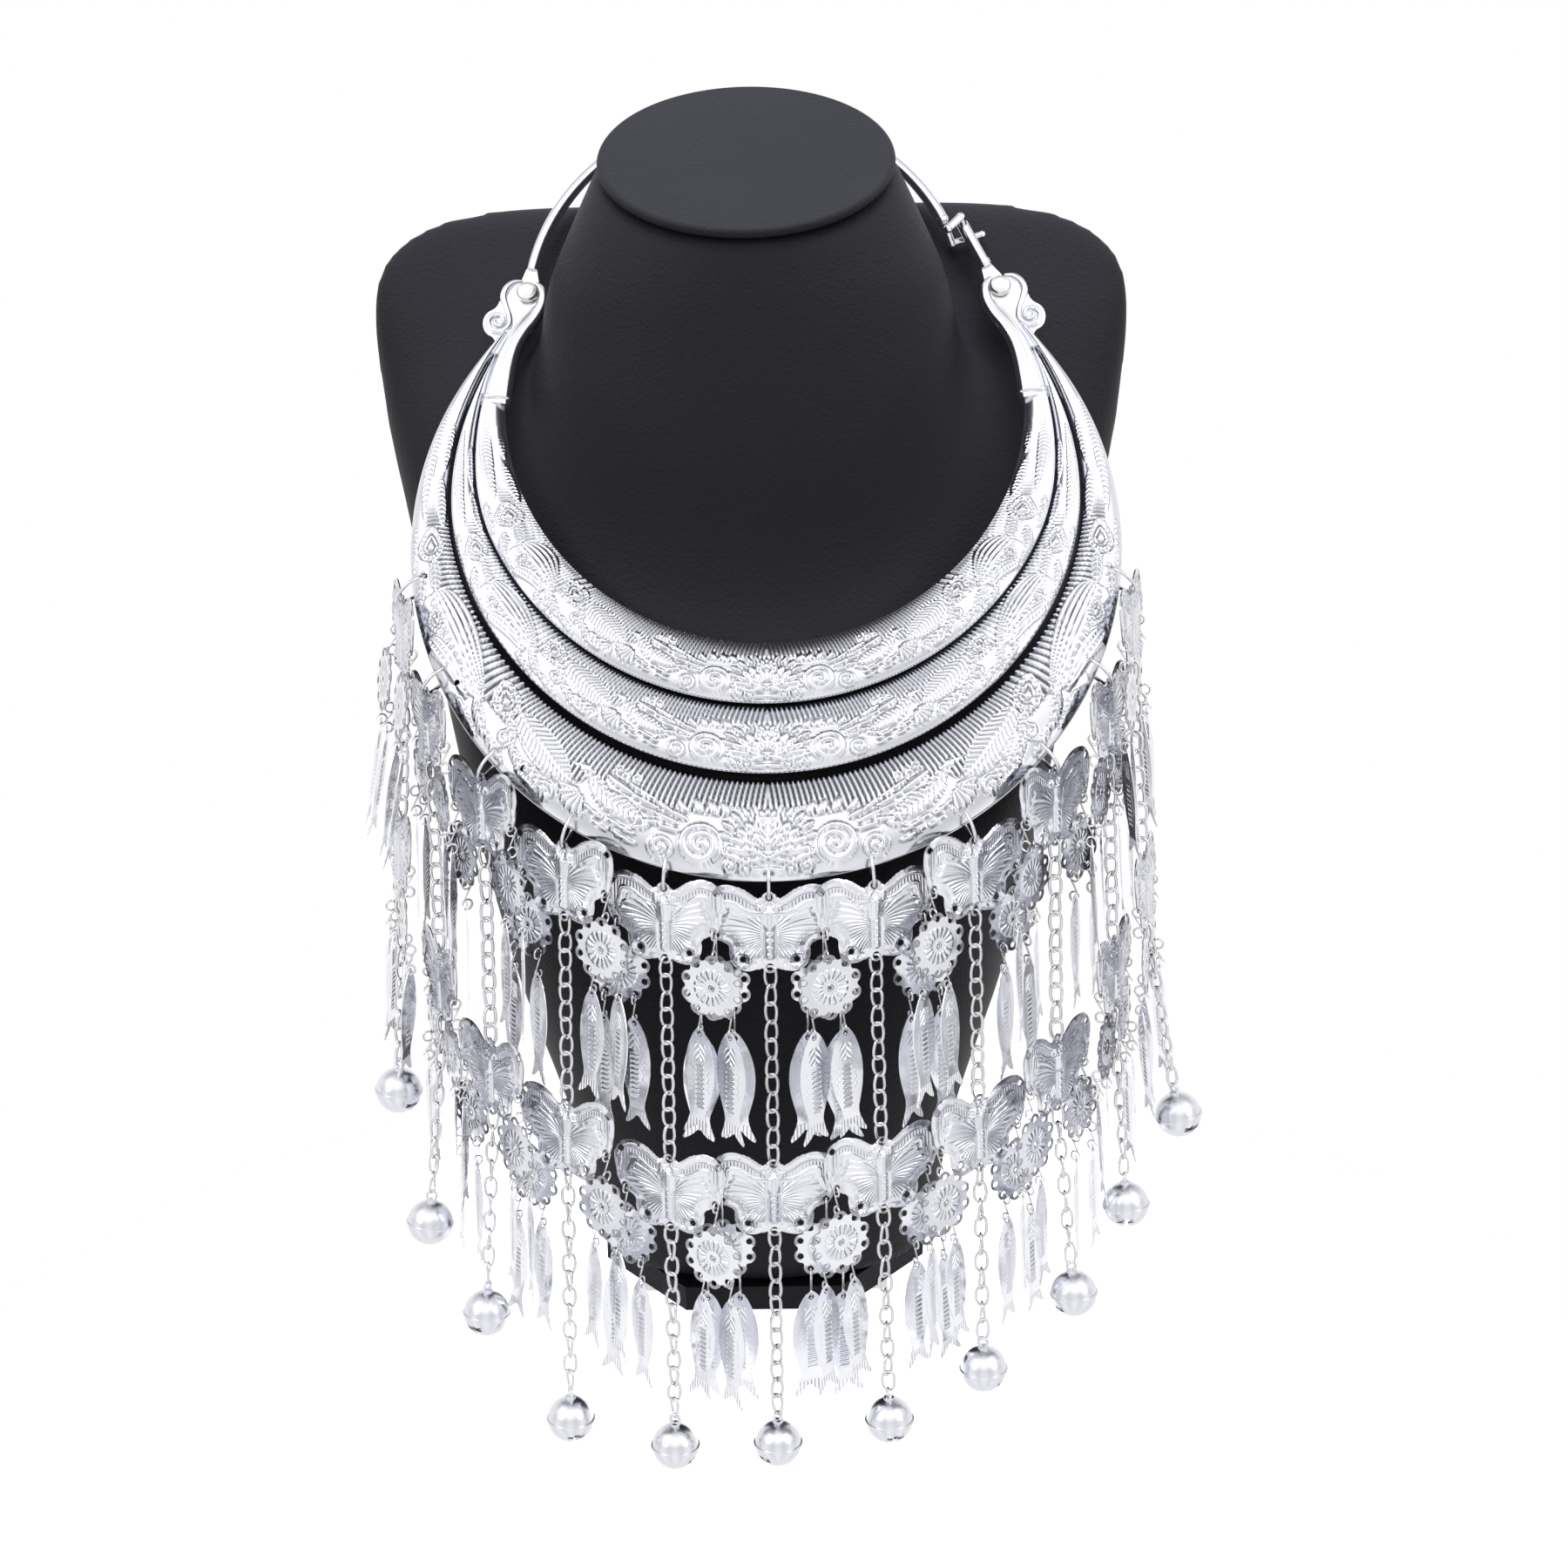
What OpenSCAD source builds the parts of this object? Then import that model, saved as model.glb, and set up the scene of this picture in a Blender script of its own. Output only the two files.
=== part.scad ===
/* [Bust] */
// Width of the shoulders
shoulder_w = 268; // [258:1:272]
// Radius of the round cap on the neck
cap_r = 50; // [48:0.5:51]
// Forward tilt of the cap, in degrees
cap_tilt = 23.5; // [20:0.5:25]
// Thickness of the foot plate
foot_t = 9; // [8:0.5:9.4]

/* [Collar] */
// Sideways place of the collar's middle line
collar_x = 5; // [2:0.5:6]
// How far the collar leans back from upright, in degrees
collar_lean = 35; // [34:0.5:36]
// Sheet thickness of the stamped crescents
sheet_t = 1; // [0.8:0.1:1.2]
// Height of the relief's largest bosses
relief_h = 0.9; // [0.3:0.1:1.2]
// Radius of the back rod and of the clasp rod
rod_r = 2.2; // [2:0.1:2.2]
// Radius of the rivet pins
pin_r = 1.5; // [1.4:0.1:1.6]

/* [Strands] */
// Angle between two neighbouring strand holes, in degrees
hole_step = 16.7; // [16.2:0.1:17]
// Radius of a jump ring, to the middle of its wire
ring_r = 6.2; // [6:0.1:6.4]
// Radius of a jump ring's wire
ring_wire = 0.6; // [0.5:0.05:0.65]
// Thickness of the butterfly plates
butterfly_t = 0.8; // [0.6:0.1:1]
// Thickness of the flower discs
flower_t = 0.6; // [0.5:0.1:0.8]
// Thickness of the fish plates
fish_t = 0.6; // [0.5:0.1:0.8]
// Radius of the space that a chain's links fill
chain_r = 1.7; // [1.4:0.1:2]
// Radius of the bells
bell_r = 8; // [7:0.5:8.5]

/* [Hidden] */
STRANDS = [1, 2, 3, 4, 5, 6, 7, 8, 9, 10, 11];

silver = [0.86, 0.87, 0.9];
black = [0.09, 0.09, 0.1];
seat_gap = 0.3;

// Bust: rows of [height, half width, front, widest depth, back], front is towards -Y
TORSO = [
    [9.4, 61, -48, 0, 42],
    [24, 64.5, -54, 3, 45],
    [65, 73, -67, 8, 48],
    [115, 89, -83, 12, 50],
    [160, 99.5, -96, 17, 52],
    [188, 105.5, -102.6, 20, 54],
    [200, 108, -96.8, 22, 55],
    [225, 113.5, -79, 25, 57],
    [250, 118.5, -61, 28, 58],
    [275, 123, -42, 31, 59],
    [304, 129, -20, 34, 60],
    [325, 132, -3, 36, 60],
    [345, shoulder_w / 2, 12, 38, 60],
    [358, 132.5, 22, 40, 59],
    [367, 128, 28.5, 41, 57],
    [375, 117, 34, 42.5, 55],
    [380, 101, 37.5, 44, 53],
    [382.5, 80, 40.5, 45, 50]
];
// Neck: rows of [height, depth of the middle, half width, half depth, forward tilt]
NECK = [
    [250, -8, 66, 48, 0],
    [285, -5, 75, 51, 0],
    [320, -4, 76.5, 51.5, 0],
    [346, -3.5, 71.5, 51, 0],
    [364, -3.5, 67, 50.5, 4],
    [380, -4, 60, 50, 11],
    [392, -5.3, 54, 49.7, 18],
    [400.2, -6.4, cap_r - 0.3, cap_r - 0.5, cap_tilt]
];
torso_sides = 32;
neck_sides = 28;
cap_y = -8;
cap_z = 404;
cap_t = 3.5;
foot_w = 118;
foot_d = 103;
foot_front_w = 56;

// Collar: the flat side of the collar lies in a leaning plane through this point
collar_y = -110;
collar_z = 182;
// Middle of the crescents' own angles, along the leaning plane; angle 0 points down
fan_h = 152;
// Crescents: rows of [inner radius, its height, outer radius, its height, tip taper, inner taper,
// rim lift, dome height, end angle]
INNER = [88, 170.5, 100.5, 160.5, 4.9, 0, 3.4, 4.4, 101.2];
MIDDLE = [100.1, 160.4, 106.5, 142.3, 3.8, 4.6, 3.4, 4.2, 104.5];
OUTER = [107, 141.6, 119, 119, 0, 3.2, 0.6, 6, 111.5];
taper_from = 70;
taper_span = 42;
arc_steps = 72;
// Share of the crescent's width at each line of its surface
ACROSS = [0, 0.04, 0.14, 0.3, 0.5, 0.7, 0.85, 0.94, 1];
// Relief bosses: rows of [angle from the bottom, share of the width, radius, share of height]
BOSSES = [
    [0, 0.55, 12, 1], [10.5, 0.6, 7.5, 1], [17, 0.7, 4, 0.7], [27, 0.5, 8, 0.8], [38, 0.5, 9, 1],
    [49, 0.5, 9, 0.9], [60, 0.5, 8, 0.9], [72, 0.5, 11, 1], [86, 0.5, 8, 0.9]
];
hole_ring_r = 114;
strand_hole_r = 1.4;

// Rod hinges, in the collar's own plane
pivot_x = 81.4;
pivot_h = 212;
rod_n = -1.1;
rod_mid_x = -6;
rod_mid_h = 207.7;
rod_arc_r = 75.5;
rod_start = 169;
rod_end = 25;
plate_t = 1.6;
tongue_t = 1.6;
head_r = 3.65;
head_t = 2.7;
pin_clear = 0.05;

// Strands: rows of [lean to the right, outward turn of the upper butterfly, of the lower one,
// lower butterfly's depth below the hole, bell's depth below the hole, ring's swing to the back,
// forward tilt of the upper flowers, forward tilt of the bell]
HANG = [
    [-3.6, 74, 74, 100, 189, 0, 6, 0],
    [-0.3, 68, 68, 114.5, 203, 0, 0, 6],
    [-0.7, 53, 54, 118, 205, 0, 0, 4],
    [-1.4, 37, 38, 115.5, 221, 0, 0, 0],
    [-0.4, 23, 28, 120, 215, 0, 0, 0],
    [0, 0, 0, 118.5, 210.5, 22, 0, 0],
    [1.3, 23, 27, 114.5, 206, 0, 0, 0],
    [1.3, 37, 39, 115.5, 203.5, 0, 0, 0],
    [1.2, 53, 54, 119, 200, 0, 0, 5],
    [2.3, 69, 69, 114.5, 200, 0, 0, 2],
    [4.1, 75, 75, 118, 202, 0, 0, 6]
];
// Butterfly outline on one side, from the head down, in the plate's own plane
WING = [
    [0, 12.2], [2.2, 12.1], [3.6, 11.5], [5, 12.3], [7.8, 14.5], [10.8, 15.9], [14, 16.4], [16.8, 16], [19.2, 14.6],
    [20.9, 12.2], [21.3, 9.4], [20.8, 5], [19.8, 0.6], [18.2, -2.2], [15.6, -2.6], [13, -4.2], [13.1, -7.6],
    [12.2, -10.8], [9.8, -12.8], [7, -13.3], [4.2, -12.7], [2.4, -12.2], [0, -12.2]
];
tab_h = 12;
wing_hole = [17.4, -0.6];
small_hole_r = 1.15;
tab_hole_r = 1.3;
flower_r = 9.2;
scallop_r = 2.7;
flower_drop = 19;
flower_front = 1.7;
fish_side = 5.4;
hook_wire = 0.4;
hook_ring_r = 1.7;
fish_hole_drop = 17.2;
// Fish outline on one side, from the head down
FISH = [
    [0, 19.5], [2.2, 17.8], [4.6, 14], [6.3, 9], [6.9, 4], [6.4, -1.5], [4.9, -6.5], [3.2, -11],
    [4, -14.5], [6.3, -19.5], [2.8, -17.8], [0, -14.8]
];
fish_hole_h = 17;

function lerp(a, b, s) = a + (b - a) * s;
function clamp01(s) = max(0, min(1, s));
function smooth(s) = let (c = clamp01(s)) c * c * (3 - 2 * c);
function unit(v) = v / norm(v);
function power(v, e) = sign(v) * pow(abs(v), e);

// Faces of a closed skin over rings of equal length, both ends closed by fans
function skin_faces(rings, sides) = concat(
    [for (i = [0 : rings - 2]) for (j = [0 : sides - 1])
        [i * sides + j, (i + 1) * sides + j, (i + 1) * sides + (j + 1) % sides]],
    [for (i = [0 : rings - 2]) for (j = [0 : sides - 1])
        [i * sides + j, (i + 1) * sides + (j + 1) % sides, i * sides + (j + 1) % sides]],
    [for (j = [1 : sides - 2]) [0, j, j + 1]],
    [for (j = [1 : sides - 2]) let (b = (rings - 1) * sides) [b, b + j + 1, b + j]]
);

// Point of the torso's section at an angle, angle 270 is the front
function torso_point(row, a) = [
    row[1] * power(cos(a), 2 / 2.3),
    row[3] + (sin(a) < 0 ? (row[3] - row[2]) : (row[4] - row[3])) * power(sin(a), 2 / 2.3),
    row[0]
];
function neck_point(row, a) = let (d = row[3] * sin(a)) [
    row[2] * cos(a),
    row[1] + d * cos(row[4]),
    row[0] + d * sin(row[4])
];

// Distance of a crescent's edge from the fan's middle, for a circle of radius r at height h
function edge_at(r, h, a) = let (e = h - fan_h) -e * cos(a) + sqrt(r * r - e * e * pow(sin(a), 2));
function taper(a) = smooth((abs(a) - taper_from) / taper_span);
function inner_edge(c, a) = edge_at(c[0], c[1], a) - c[5] * taper(a);
function outer_edge(c, a) = edge_at(c[2], c[3], a) - c[4] * taper(a);
function bump(c, a, s, b) =
    let (
        r = lerp(inner_edge(c, a), outer_edge(c, a), s),
        along = (abs(a) - b[0]) * PI / 180 * r,
        across = (s - b[1]) * (outer_edge(c, a) - inner_edge(c, a)),
        d = (along * along + across * across) / (b[2] * b[2])
    ) b[3] * pow(max(0, 1 - d), 2);
function boss_sum(c, a, s) = relief_h * min(1, max([for (b = BOSSES) bump(c, a, s, b)]));
// Height of a crescent's front above the collar's plane
function front_n(c, a, s) =
    let (tip = 0.3 + 0.7 * pow(cos(min(90, abs(a) * 90 / 120)), 0.8))
    sheet_t + c[6] * pow(s, 1.5) * (0.4 + 0.6 * tip)
        + c[7] * tip * pow(max(0, sin(180 * s)), 0.6) + tip * boss_sum(c, a, s) * sin(180 * s);
function crescent_point(c, a, s, down) =
    let (r = lerp(inner_edge(c, a), outer_edge(c, a), s))
    [r * sin(a), fan_h - r * cos(a), front_n(c, a, s) - down];

module in_collar() {
    translate([collar_x, collar_y, collar_z]) rotate([90 - collar_lean, 0, 0]) children();
}

module crescent(c) {
    lines = len(ACROSS);
    half = (arc_steps + 1) * lines;
    angles = [for (i = [0 : arc_steps]) c[8] * (2 * i / arc_steps - 1)];
    front = [for (a = angles) for (s = ACROSS) crescent_point(c, a, s, 0)];
    back = [for (a = angles) for (s = ACROSS) crescent_point(c, a, s, sheet_t)];
    sheet = [for (i = [0 : arc_steps - 1]) for (j = [0 : lines - 2]) let (p = i * lines + j)
        each [[p, p + lines, p + lines + 1], [p, p + lines + 1, p + 1]]];
    under = [for (f = sheet) [f[2] + half, f[1] + half, f[0] + half]];
    inner_side = [for (i = [0 : arc_steps - 1]) let (p = i * lines)
        each [[p, p + half, p + lines + half], [p, p + lines + half, p + lines]]];
    outer_side = [for (i = [0 : arc_steps - 1]) let (p = i * lines + lines - 1)
        each [[p, p + lines + half, p + half], [p, p + lines, p + lines + half]]];
    left_end = [for (j = [0 : lines - 2])
        each [[j, j + 1, j + 1 + half], [j, j + 1 + half, j + half]]];
    right_end = [for (j = [0 : lines - 2]) let (p = arc_steps * lines + j)
        each [[p, p + 1 + half, p + 1], [p, p + half, p + 1 + half]]];
    polyhedron(
        points = concat(front, back),
        faces = [for (f = concat(sheet, under, inner_side, outer_side, left_end, right_end))
            [f[2], f[1], f[0]]],
        convexity = 8
    );
}

module crescent_inner() {
    color(silver) in_collar() crescent(INNER);
}

module crescent_middle() {
    color(silver) in_collar() crescent(MIDDLE);
}

// Strand holes: place in the collar's plane, and the height of the sheet's middle there
function hole_flat(k) = let (a = hole_step * (k - 6))
    [hole_ring_r * sin(a), OUTER[3] - hole_ring_r * cos(a)];
function hole_n(k) =
    let (
        p = hole_flat(k),
        a = atan2(p[0], fan_h - p[1]),
        r = norm([p[0], fan_h - p[1]]),
        s = (r - inner_edge(OUTER, a)) / (outer_edge(OUTER, a) - inner_edge(OUTER, a))
    ) front_n(OUTER, a, s) - sheet_t / 2;

module crescent_outer() {
    color(silver) in_collar() difference() {
        crescent(OUTER);
        for (k = STRANDS)
            translate([hole_flat(k)[0], hole_flat(k)[1], -1]) rotate(22.5) cylinder(h = 12, r = strand_hole_r, $fn = 8);
    }
}

module neck_bust() {
    color(black) union() {
        polyhedron(
            points = [for (row = TORSO) for (j = [0 : torso_sides - 1])
                torso_point(row, 360 * j / torso_sides)],
            faces = skin_faces(len(TORSO), torso_sides),
            convexity = 6
        );
        polyhedron(
            points = [for (row = NECK) for (j = [0 : neck_sides - 1])
                neck_point(row, 360 * j / neck_sides)],
            faces = skin_faces(len(NECK), neck_sides),
            convexity = 6
        );
    }
}

module neck_cap() {
    edge = cap_t / 2;
    color(black) translate([0, cap_y, cap_z]) rotate([cap_tilt, 0, 0]) union() {
        translate([0, 0, -cap_t]) cylinder(h = cap_t, r = cap_r - edge, $fn = 96);
        translate([0, 0, -edge]) rotate_extrude($fn = 96) translate([cap_r - edge, 0]) circle(r = edge, $fn = 24);
    }
}

module bust_foot() {
    side_w = foot_w / 2;
    corner_y = 8;
    front_y = foot_d / 2;
    color(black) linear_extrude(foot_t) polygon([
        [-foot_front_w / 2, -front_y], [foot_front_w / 2, -front_y],
        [side_w, -corner_y], [side_w, corner_y],
        [foot_front_w / 2, front_y], [-foot_front_w / 2, front_y],
        [-side_w, corner_y], [-side_w, -corner_y]
    ]);
}

// End plate on the right side, about its rivet: disc, scroll and the band down to the crescents
module plate_outline() {
    translate([1.6, -3.4]) circle(r = 8, $fn = 64);
    translate([10, -10.9]) circle(r = 5.6, $fn = 48);
    polygon([
        [-5.6, -6.5], [-2.6, -13], [2.3, -20], [4.6, -28], [6.2, -42.2], [13, -40.7],
        [12.4, -36], [10.8, -26], [9.9, -17], [9, -6]
    ]);
}

module rib_outline() {
    difference() {
        translate([1.6, -3.4]) circle(r = 7.6, $fn = 64);
        translate([1.6, -3.4]) circle(r = 5.2, $fn = 64);
        translate([0, -14]) square([14, 30]);
    }
    polygon([
        [-5.8, -5.4], [-2.8, -12.8], [2.8, -20], [5, -28], [6.6, -41.8], [12.3, -40.6],
        [11.2, -34], [8.4, -24], [3.4, -15], [-1.6, -8], [-3.4, -5]
    ]);
}

module scroll_outline() {
    translate([10, -10.9]) difference() {
        circle(r = 5.2, $fn = 48);
        circle(r = 3.2, $fn = 48);
    }
    translate([10, -10.9]) circle(r = 1.6, $fn = 32);
}

module end_plate() {
    difference() {
        union() {
            linear_extrude(plate_t) plate_outline();
            linear_extrude(plate_t + 1.5) rib_outline();
            linear_extrude(plate_t + 1.1) scroll_outline();
        }
        translate([0, 0, plate_t]) cylinder(h = 8, r = head_r + seat_gap, $fn = 48);
        translate([0, 0, -1]) cylinder(h = 8, r = pin_r + 2 * pin_clear, $fn = 48);
    }
}

module end_plate_right() {
    color(silver) in_collar() translate([pivot_x, pivot_h, 0]) end_plate();
}

module end_plate_left() {
    color(silver) in_collar() mirror([1, 0, 0]) translate([pivot_x, pivot_h, 0]) end_plate();
}

// Rivet: domed head, pin and peened back, turned about its own axis
module rivet() {
    back = rod_n - tongue_t / 2 - seat_gap;
    seat = plate_t + seat_gap;
    rotate_extrude($fn = 48) polygon([
        [0, back - 0.9], [1.8, back - 0.9], [2.6, back - 0.5], [2.6, back], [pin_r, back],
        [pin_r, seat], [head_r, seat], [head_r, seat + head_t - 1.2], [head_r - 0.5, seat + head_t - 0.4],
        [head_r - 1.6, seat + head_t], [0, seat + head_t]
    ]);
}

module rivet_right() {
    color(silver) in_collar() translate([pivot_x, pivot_h, 0]) rivet();
}

module rivet_left() {
    color(silver) in_collar() translate([-pivot_x, pivot_h, 0]) rivet();
}

// Flat tongue of a rod, from its bore upwards
module tongue(reach) {
    translate([0, 0, rod_n - tongue_t / 2]) linear_extrude(tongue_t) difference() {
        union() {
            circle(r = 3.9, $fn = 48);
            polygon([[-3.8, 0.5], [3.8, 0.5], [3.2, 5], [1.5, reach], [-1.5, reach], [-3.2, 5]]);
        }
        circle(r = pin_r + pin_clear, $fn = 48);
    }
}

module bar(from, to, r) {
    v = to - from;
    translate(from) rotate([0, acos(v[2] / norm(v)), atan2(v[1], v[0])]) cylinder(h = norm(v), r = r, $fn = 32);
    translate(to) sphere(r = 1.12 * r, $fn = 32);
}

module back_rod() {
    rod_tip = [rod_mid_x + rod_arc_r * cos(rod_end), rod_mid_h + rod_arc_r * sin(rod_end), rod_n];
    hook_bend = [65.6, 233.2, -6];
    hook_end = [76.3, 236.4, -5.8];
    color(silver) in_collar() union() {
        translate([-pivot_x, pivot_h, 0]) rotate(-6) tongue(11.5);
        translate([rod_mid_x, rod_mid_h, rod_n]) rotate(rod_end) rotate_extrude(angle = rod_start - rod_end, $fn = 180)
            translate([rod_arc_r, 0]) circle(r = rod_r, $fn = 32);
        translate(rod_tip) sphere(r = 1.06 * rod_r, $fn = 32);
        bar(rod_tip, hook_bend, 1.6);
        bar(hook_bend, hook_end, 1.2);
    }
}

module clasp_rod() {
    rod_turn = 25.3;
    length = 28.6;
    color(silver) in_collar() translate([pivot_x, pivot_h, 0]) rotate(rod_turn) union() {
        tongue(11.5);
        translate([0, 9.8, rod_n]) rotate([-90, 0, 0]) cylinder(h = length - 9.8, r = rod_r, $fn = 32);
        translate([0, 10.6, rod_n]) rotate([-90, 0, 0]) cylinder(h = 1.8, r = rod_r + 0.35, $fn = 32);
        bar([0, length - 1.6, rod_n], [-0.6, length + 0.6, 3.6], 1.4);
        bar([-0.6, length + 0.6, 3.6], [-6.6, length - 1.6, 3.8], 1.4);
    }
}

// Jump ring of a strand: it passes the hole, and leans from straight down towards the rim
ring_n = [0, -cos(collar_lean), sin(collar_lean)];
function to_world(p) = [
    collar_x + p[0],
    collar_y + p[1] * sin(collar_lean) - p[2] * cos(collar_lean),
    collar_z + p[1] * cos(collar_lean) + p[2] * sin(collar_lean)
];
function hole_world(k) = to_world([hole_flat(k)[0], hole_flat(k)[1], hole_n(k)]);
function ring_u(k) = let (a = hole_step * (k - 6))
    unit([sign(a) * 1.1 * pow(sin(a), 2), sin(hang(k)[5]), -cos(hang(k)[5])]);
function ring_v(k) = unit(ring_n - (ring_n * ring_u(k)) * ring_u(k));
function ring_mid(k) = hole_world(k) + ring_r * ring_u(k);
function ring_down(k) = unit(ring_u(k) * (ring_u(k)[2]) + ring_v(k) * (ring_v(k)[2])) * -1;
function ring_low(k) = ring_mid(k) + ring_r * ring_down(k);
module jump_rings() {
    color(silver) for (k = STRANDS) {
        n = cross(ring_u(k), ring_v(k));
        translate(ring_mid(k)) rotate([0, acos(n[2]), atan2(n[1], n[0])]) rotate_extrude($fn = 48)
            translate([ring_r, 0]) circle(r = ring_wire, $fn = 16);
    }
}

ring_drop = 2 * ring_r;
function hang(k) = HANG[k - 1];
function upper_turn(k) = sign(k - 6) * hang(k)[1];
function lower_turn(k) = k == 6 ? 0 : sign(k - 6) * hang(k)[2];
function lower_h(k) = ring_drop - hang(k)[3];
function bell_h(k) = ring_drop - hang(k)[4];

module on_strand(k) {
    translate(ring_low(k)) rotate([0, -hang(k)[0], 0]) children();
}

module upright_plate(t) {
    rotate([90, 0, 0]) translate([0, 0, -t / 2]) linear_extrude(t) children();
}

module butterfly_outline() {
    difference() {
        union() {
            polygon(concat(WING, [for (i = [len(WING) - 2 : -1 : 1]) [-WING[i][0], WING[i][1]]]));
            for (s = [-1, 1]) translate([0, s * (tab_h - 0.4)]) circle(r = 2.5, $fn = 32);
        }
        for (s = [-1, 1]) translate([0, s * tab_h]) circle(r = tab_hole_r, $fn = 24);
        for (s = [-1, 1]) {
            translate([s * wing_hole[0], wing_hole[1]]) circle(r = small_hole_r, $fn = 24);
            translate([s * 18.6, 12.6]) circle(r = small_hole_r, $fn = 24);
            translate([s * 8.8, -9.2]) circle(r = small_hole_r, $fn = 24);
        }
    }
}

// Butterfly plate with its body, eyes and wing ribs, its middle at the origin
module butterfly() {
    union() {
        upright_plate(butterfly_t) butterfly_outline();
        translate([0, -0.3, -9]) cylinder(h = 17, r = 1.5, $fn = 24);
        translate([0, -0.3, 8]) sphere(r = 1.5, $fn = 24);
        translate([0, -0.3, -9]) sphere(r = 1.5, $fn = 24);
        for (s = [-1, 1]) translate([s * 1.9, -0.5, 10]) sphere(r = 1.2, $fn = 24);
        for (s = [-1, 1]) translate([0, -butterfly_t / 2 - 0.35, 0]) upright_plate(0.9) {
            polygon([[s * 3, 8], [s * 9, 12], [s * 16, 13.6], [s * 9, 10.8], [s * 3, 6.8]]);
            polygon([[s * 3, 4.6], [s * 11, 6.6], [s * 18, 6.2], [s * 11, 5.4], [s * 3, 3.4]]);
            polygon([[s * 3, -3.4], [s * 7, -5], [s * 11, -5.8], [s * 7, -6.2], [s * 3, -4.8]]);
        }
    }
}

module upper_butterfly(k) {
    color(silver) on_strand(k) rotate([0, 0, upper_turn(k)]) translate([0, 0, -tab_h]) butterfly();
}

module lower_butterfly(k) {
    color(silver) on_strand(k) translate([0, 0, lower_h(k)]) rotate([0, 0, lower_turn(k)]) butterfly();
}

// Chain as the round space that its links fill, swept along its hanging line
chain_sides = 8;
function tube_ring(p, r) = [for (j = [0 : chain_sides - 1]) let (a = 360 * j / chain_sides) p + [r * cos(a), r * sin(a), 0]];

module hanging_tube(from, to) {
    stations = 5;
    rings = [for (i = [0 : stations - 1]) each tube_ring([0, 0, lerp(from, to, i / (stations - 1))], chain_r)];
    polyhedron(points = rings, faces = skin_faces(stations, chain_sides));
}

// Lower end of a strand: below the lower butterfly it tilts towards the front of its plate
module on_lower_end(k) {
    on_strand(k) translate([0, 0, lower_h(k) - tab_h]) rotate([0, 0, lower_turn(k)])
        rotate([-hang(k)[7], 0, 0]) translate([0, 0, tab_h - lower_h(k)]) children();
}

module chain(k) {
    plate_end = tab_h + 2.1 + seat_gap;
    loop_top = bell_r + 4.2 + seat_gap;
    color(silver) {
        on_strand(k) hanging_tube(lower_h(k) + plate_end, -tab_h - plate_end);
        on_lower_end(k) hanging_tube(bell_h(k) + loop_top, lower_h(k) - plate_end);
    }
}

// Flower disc about its middle, with the wire hooks that it hangs by and that carry its fish
module hook(top, bottom) {
    mid_top = top - hook_ring_r;
    mid_bottom = bottom + hook_ring_r;
    rotate([90, 0, 90]) translate([0, 0, -hook_wire]) linear_extrude(2 * hook_wire) {
        for (h = [mid_top, mid_bottom]) translate([0, h]) difference() {
            circle(r = hook_ring_r + hook_wire, $fn = 24);
            circle(r = hook_ring_r - hook_wire, $fn = 24);
        }
        translate([-hook_wire, mid_bottom + hook_ring_r])
            square([2 * hook_wire, mid_top - mid_bottom - 2 * hook_ring_r]);
    }
}

module flower_outline() {
    difference() {
        union() {
            circle(r = flower_r, $fn = 64);
            for (i = [0 : 9]) rotate(36 * i) translate([0, flower_r - 0.6]) circle(r = scallop_r, $fn = 24);
        }
        for (i = [0 : 9]) rotate(36 * i) translate([0, flower_r]) circle(r = 0.9, $fn = 16);
    }
}

module flower(front) {
    hole_h = flower_r * cos(36);
    union() {
        translate([0, -front, 0]) {
            upright_plate(flower_t) flower_outline();
            translate([0, 0.2 - flower_t / 2, 0]) rotate([90, 0, 0]) cylinder(h = 0.5, r = 6.2, $fn = 32);
            translate([0, 0.2 - flower_t / 2, 0]) rotate([90, 0, 0]) cylinder(h = 1, r = 1.6, $fn = 24);
        }
        hook(flower_drop, flower_r - 1.6);
        for (s = [-1, 1]) translate([s * fish_side, 0, 0]) hook(1.6 - hole_h, -fish_hole_drop);
    }
}

module fish_outline(bend) {
    function side_point(p, s) = [s * p[0] + bend * pow((19.5 - p[1]) / 39, 2), p[1]];
    difference() {
        polygon(concat([for (p = FISH) side_point(p, 1)],
            [for (i = [len(FISH) - 2 : -1 : 1]) side_point(FISH[i], -1)]));
        translate([0, fish_hole_h]) circle(r = 0.95, $fn = 16);
    }
}

module fish(bend) {
    union() {
        upright_plate(fish_t) fish_outline(bend);
        translate([0, -fish_t / 2 - 0.1, 0]) upright_plate(0.6)
            polygon([[-1.6, 9], [1.6, 9], [1.6 + bend * 0.4, -6], [bend * 0.4 - 1.6, -6]]);
    }
}

// The two flowers and four fish of one butterfly, its plate turned by an angle
module hanging_flowers(k, turn, tilt) {
    for (s = [-1, 1]) {
        swing = 2.5 * sin(97 * k + 40 * s);
        outer = tilt == 0 && (turn == 0 || sign(turn) == s);
        side = turn == 0 ? s : sign(turn);
        translate([s * wing_hole[0], 0, wing_hole[1]]) rotate([-tilt, 0, swing])
            translate([0, 0, -flower_drop]) {
                flower(outer ? -flower_front : flower_front);
                for (f = [-1, 1]) {
                    fish_turn = side * (22 + 4 * sin(61 * k + 80 * f + 150 * s));
                    translate([f * fish_side, 0, -fish_hole_drop]) rotate([0, 0, fish_turn])
                        translate([0, 0, -fish_hole_h]) fish(f * 1.6);
                }
            }
    }
}

module drops(k) {
    color(silver) on_strand(k) {
        translate([0, 0, -tab_h]) rotate([0, 0, upper_turn(k)]) hanging_flowers(k, upper_turn(k), hang(k)[6]);
        translate([0, 0, lower_h(k)]) rotate([0, 0, lower_turn(k)]) hanging_flowers(k + 20, lower_turn(k), 0);
    }
}

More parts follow.
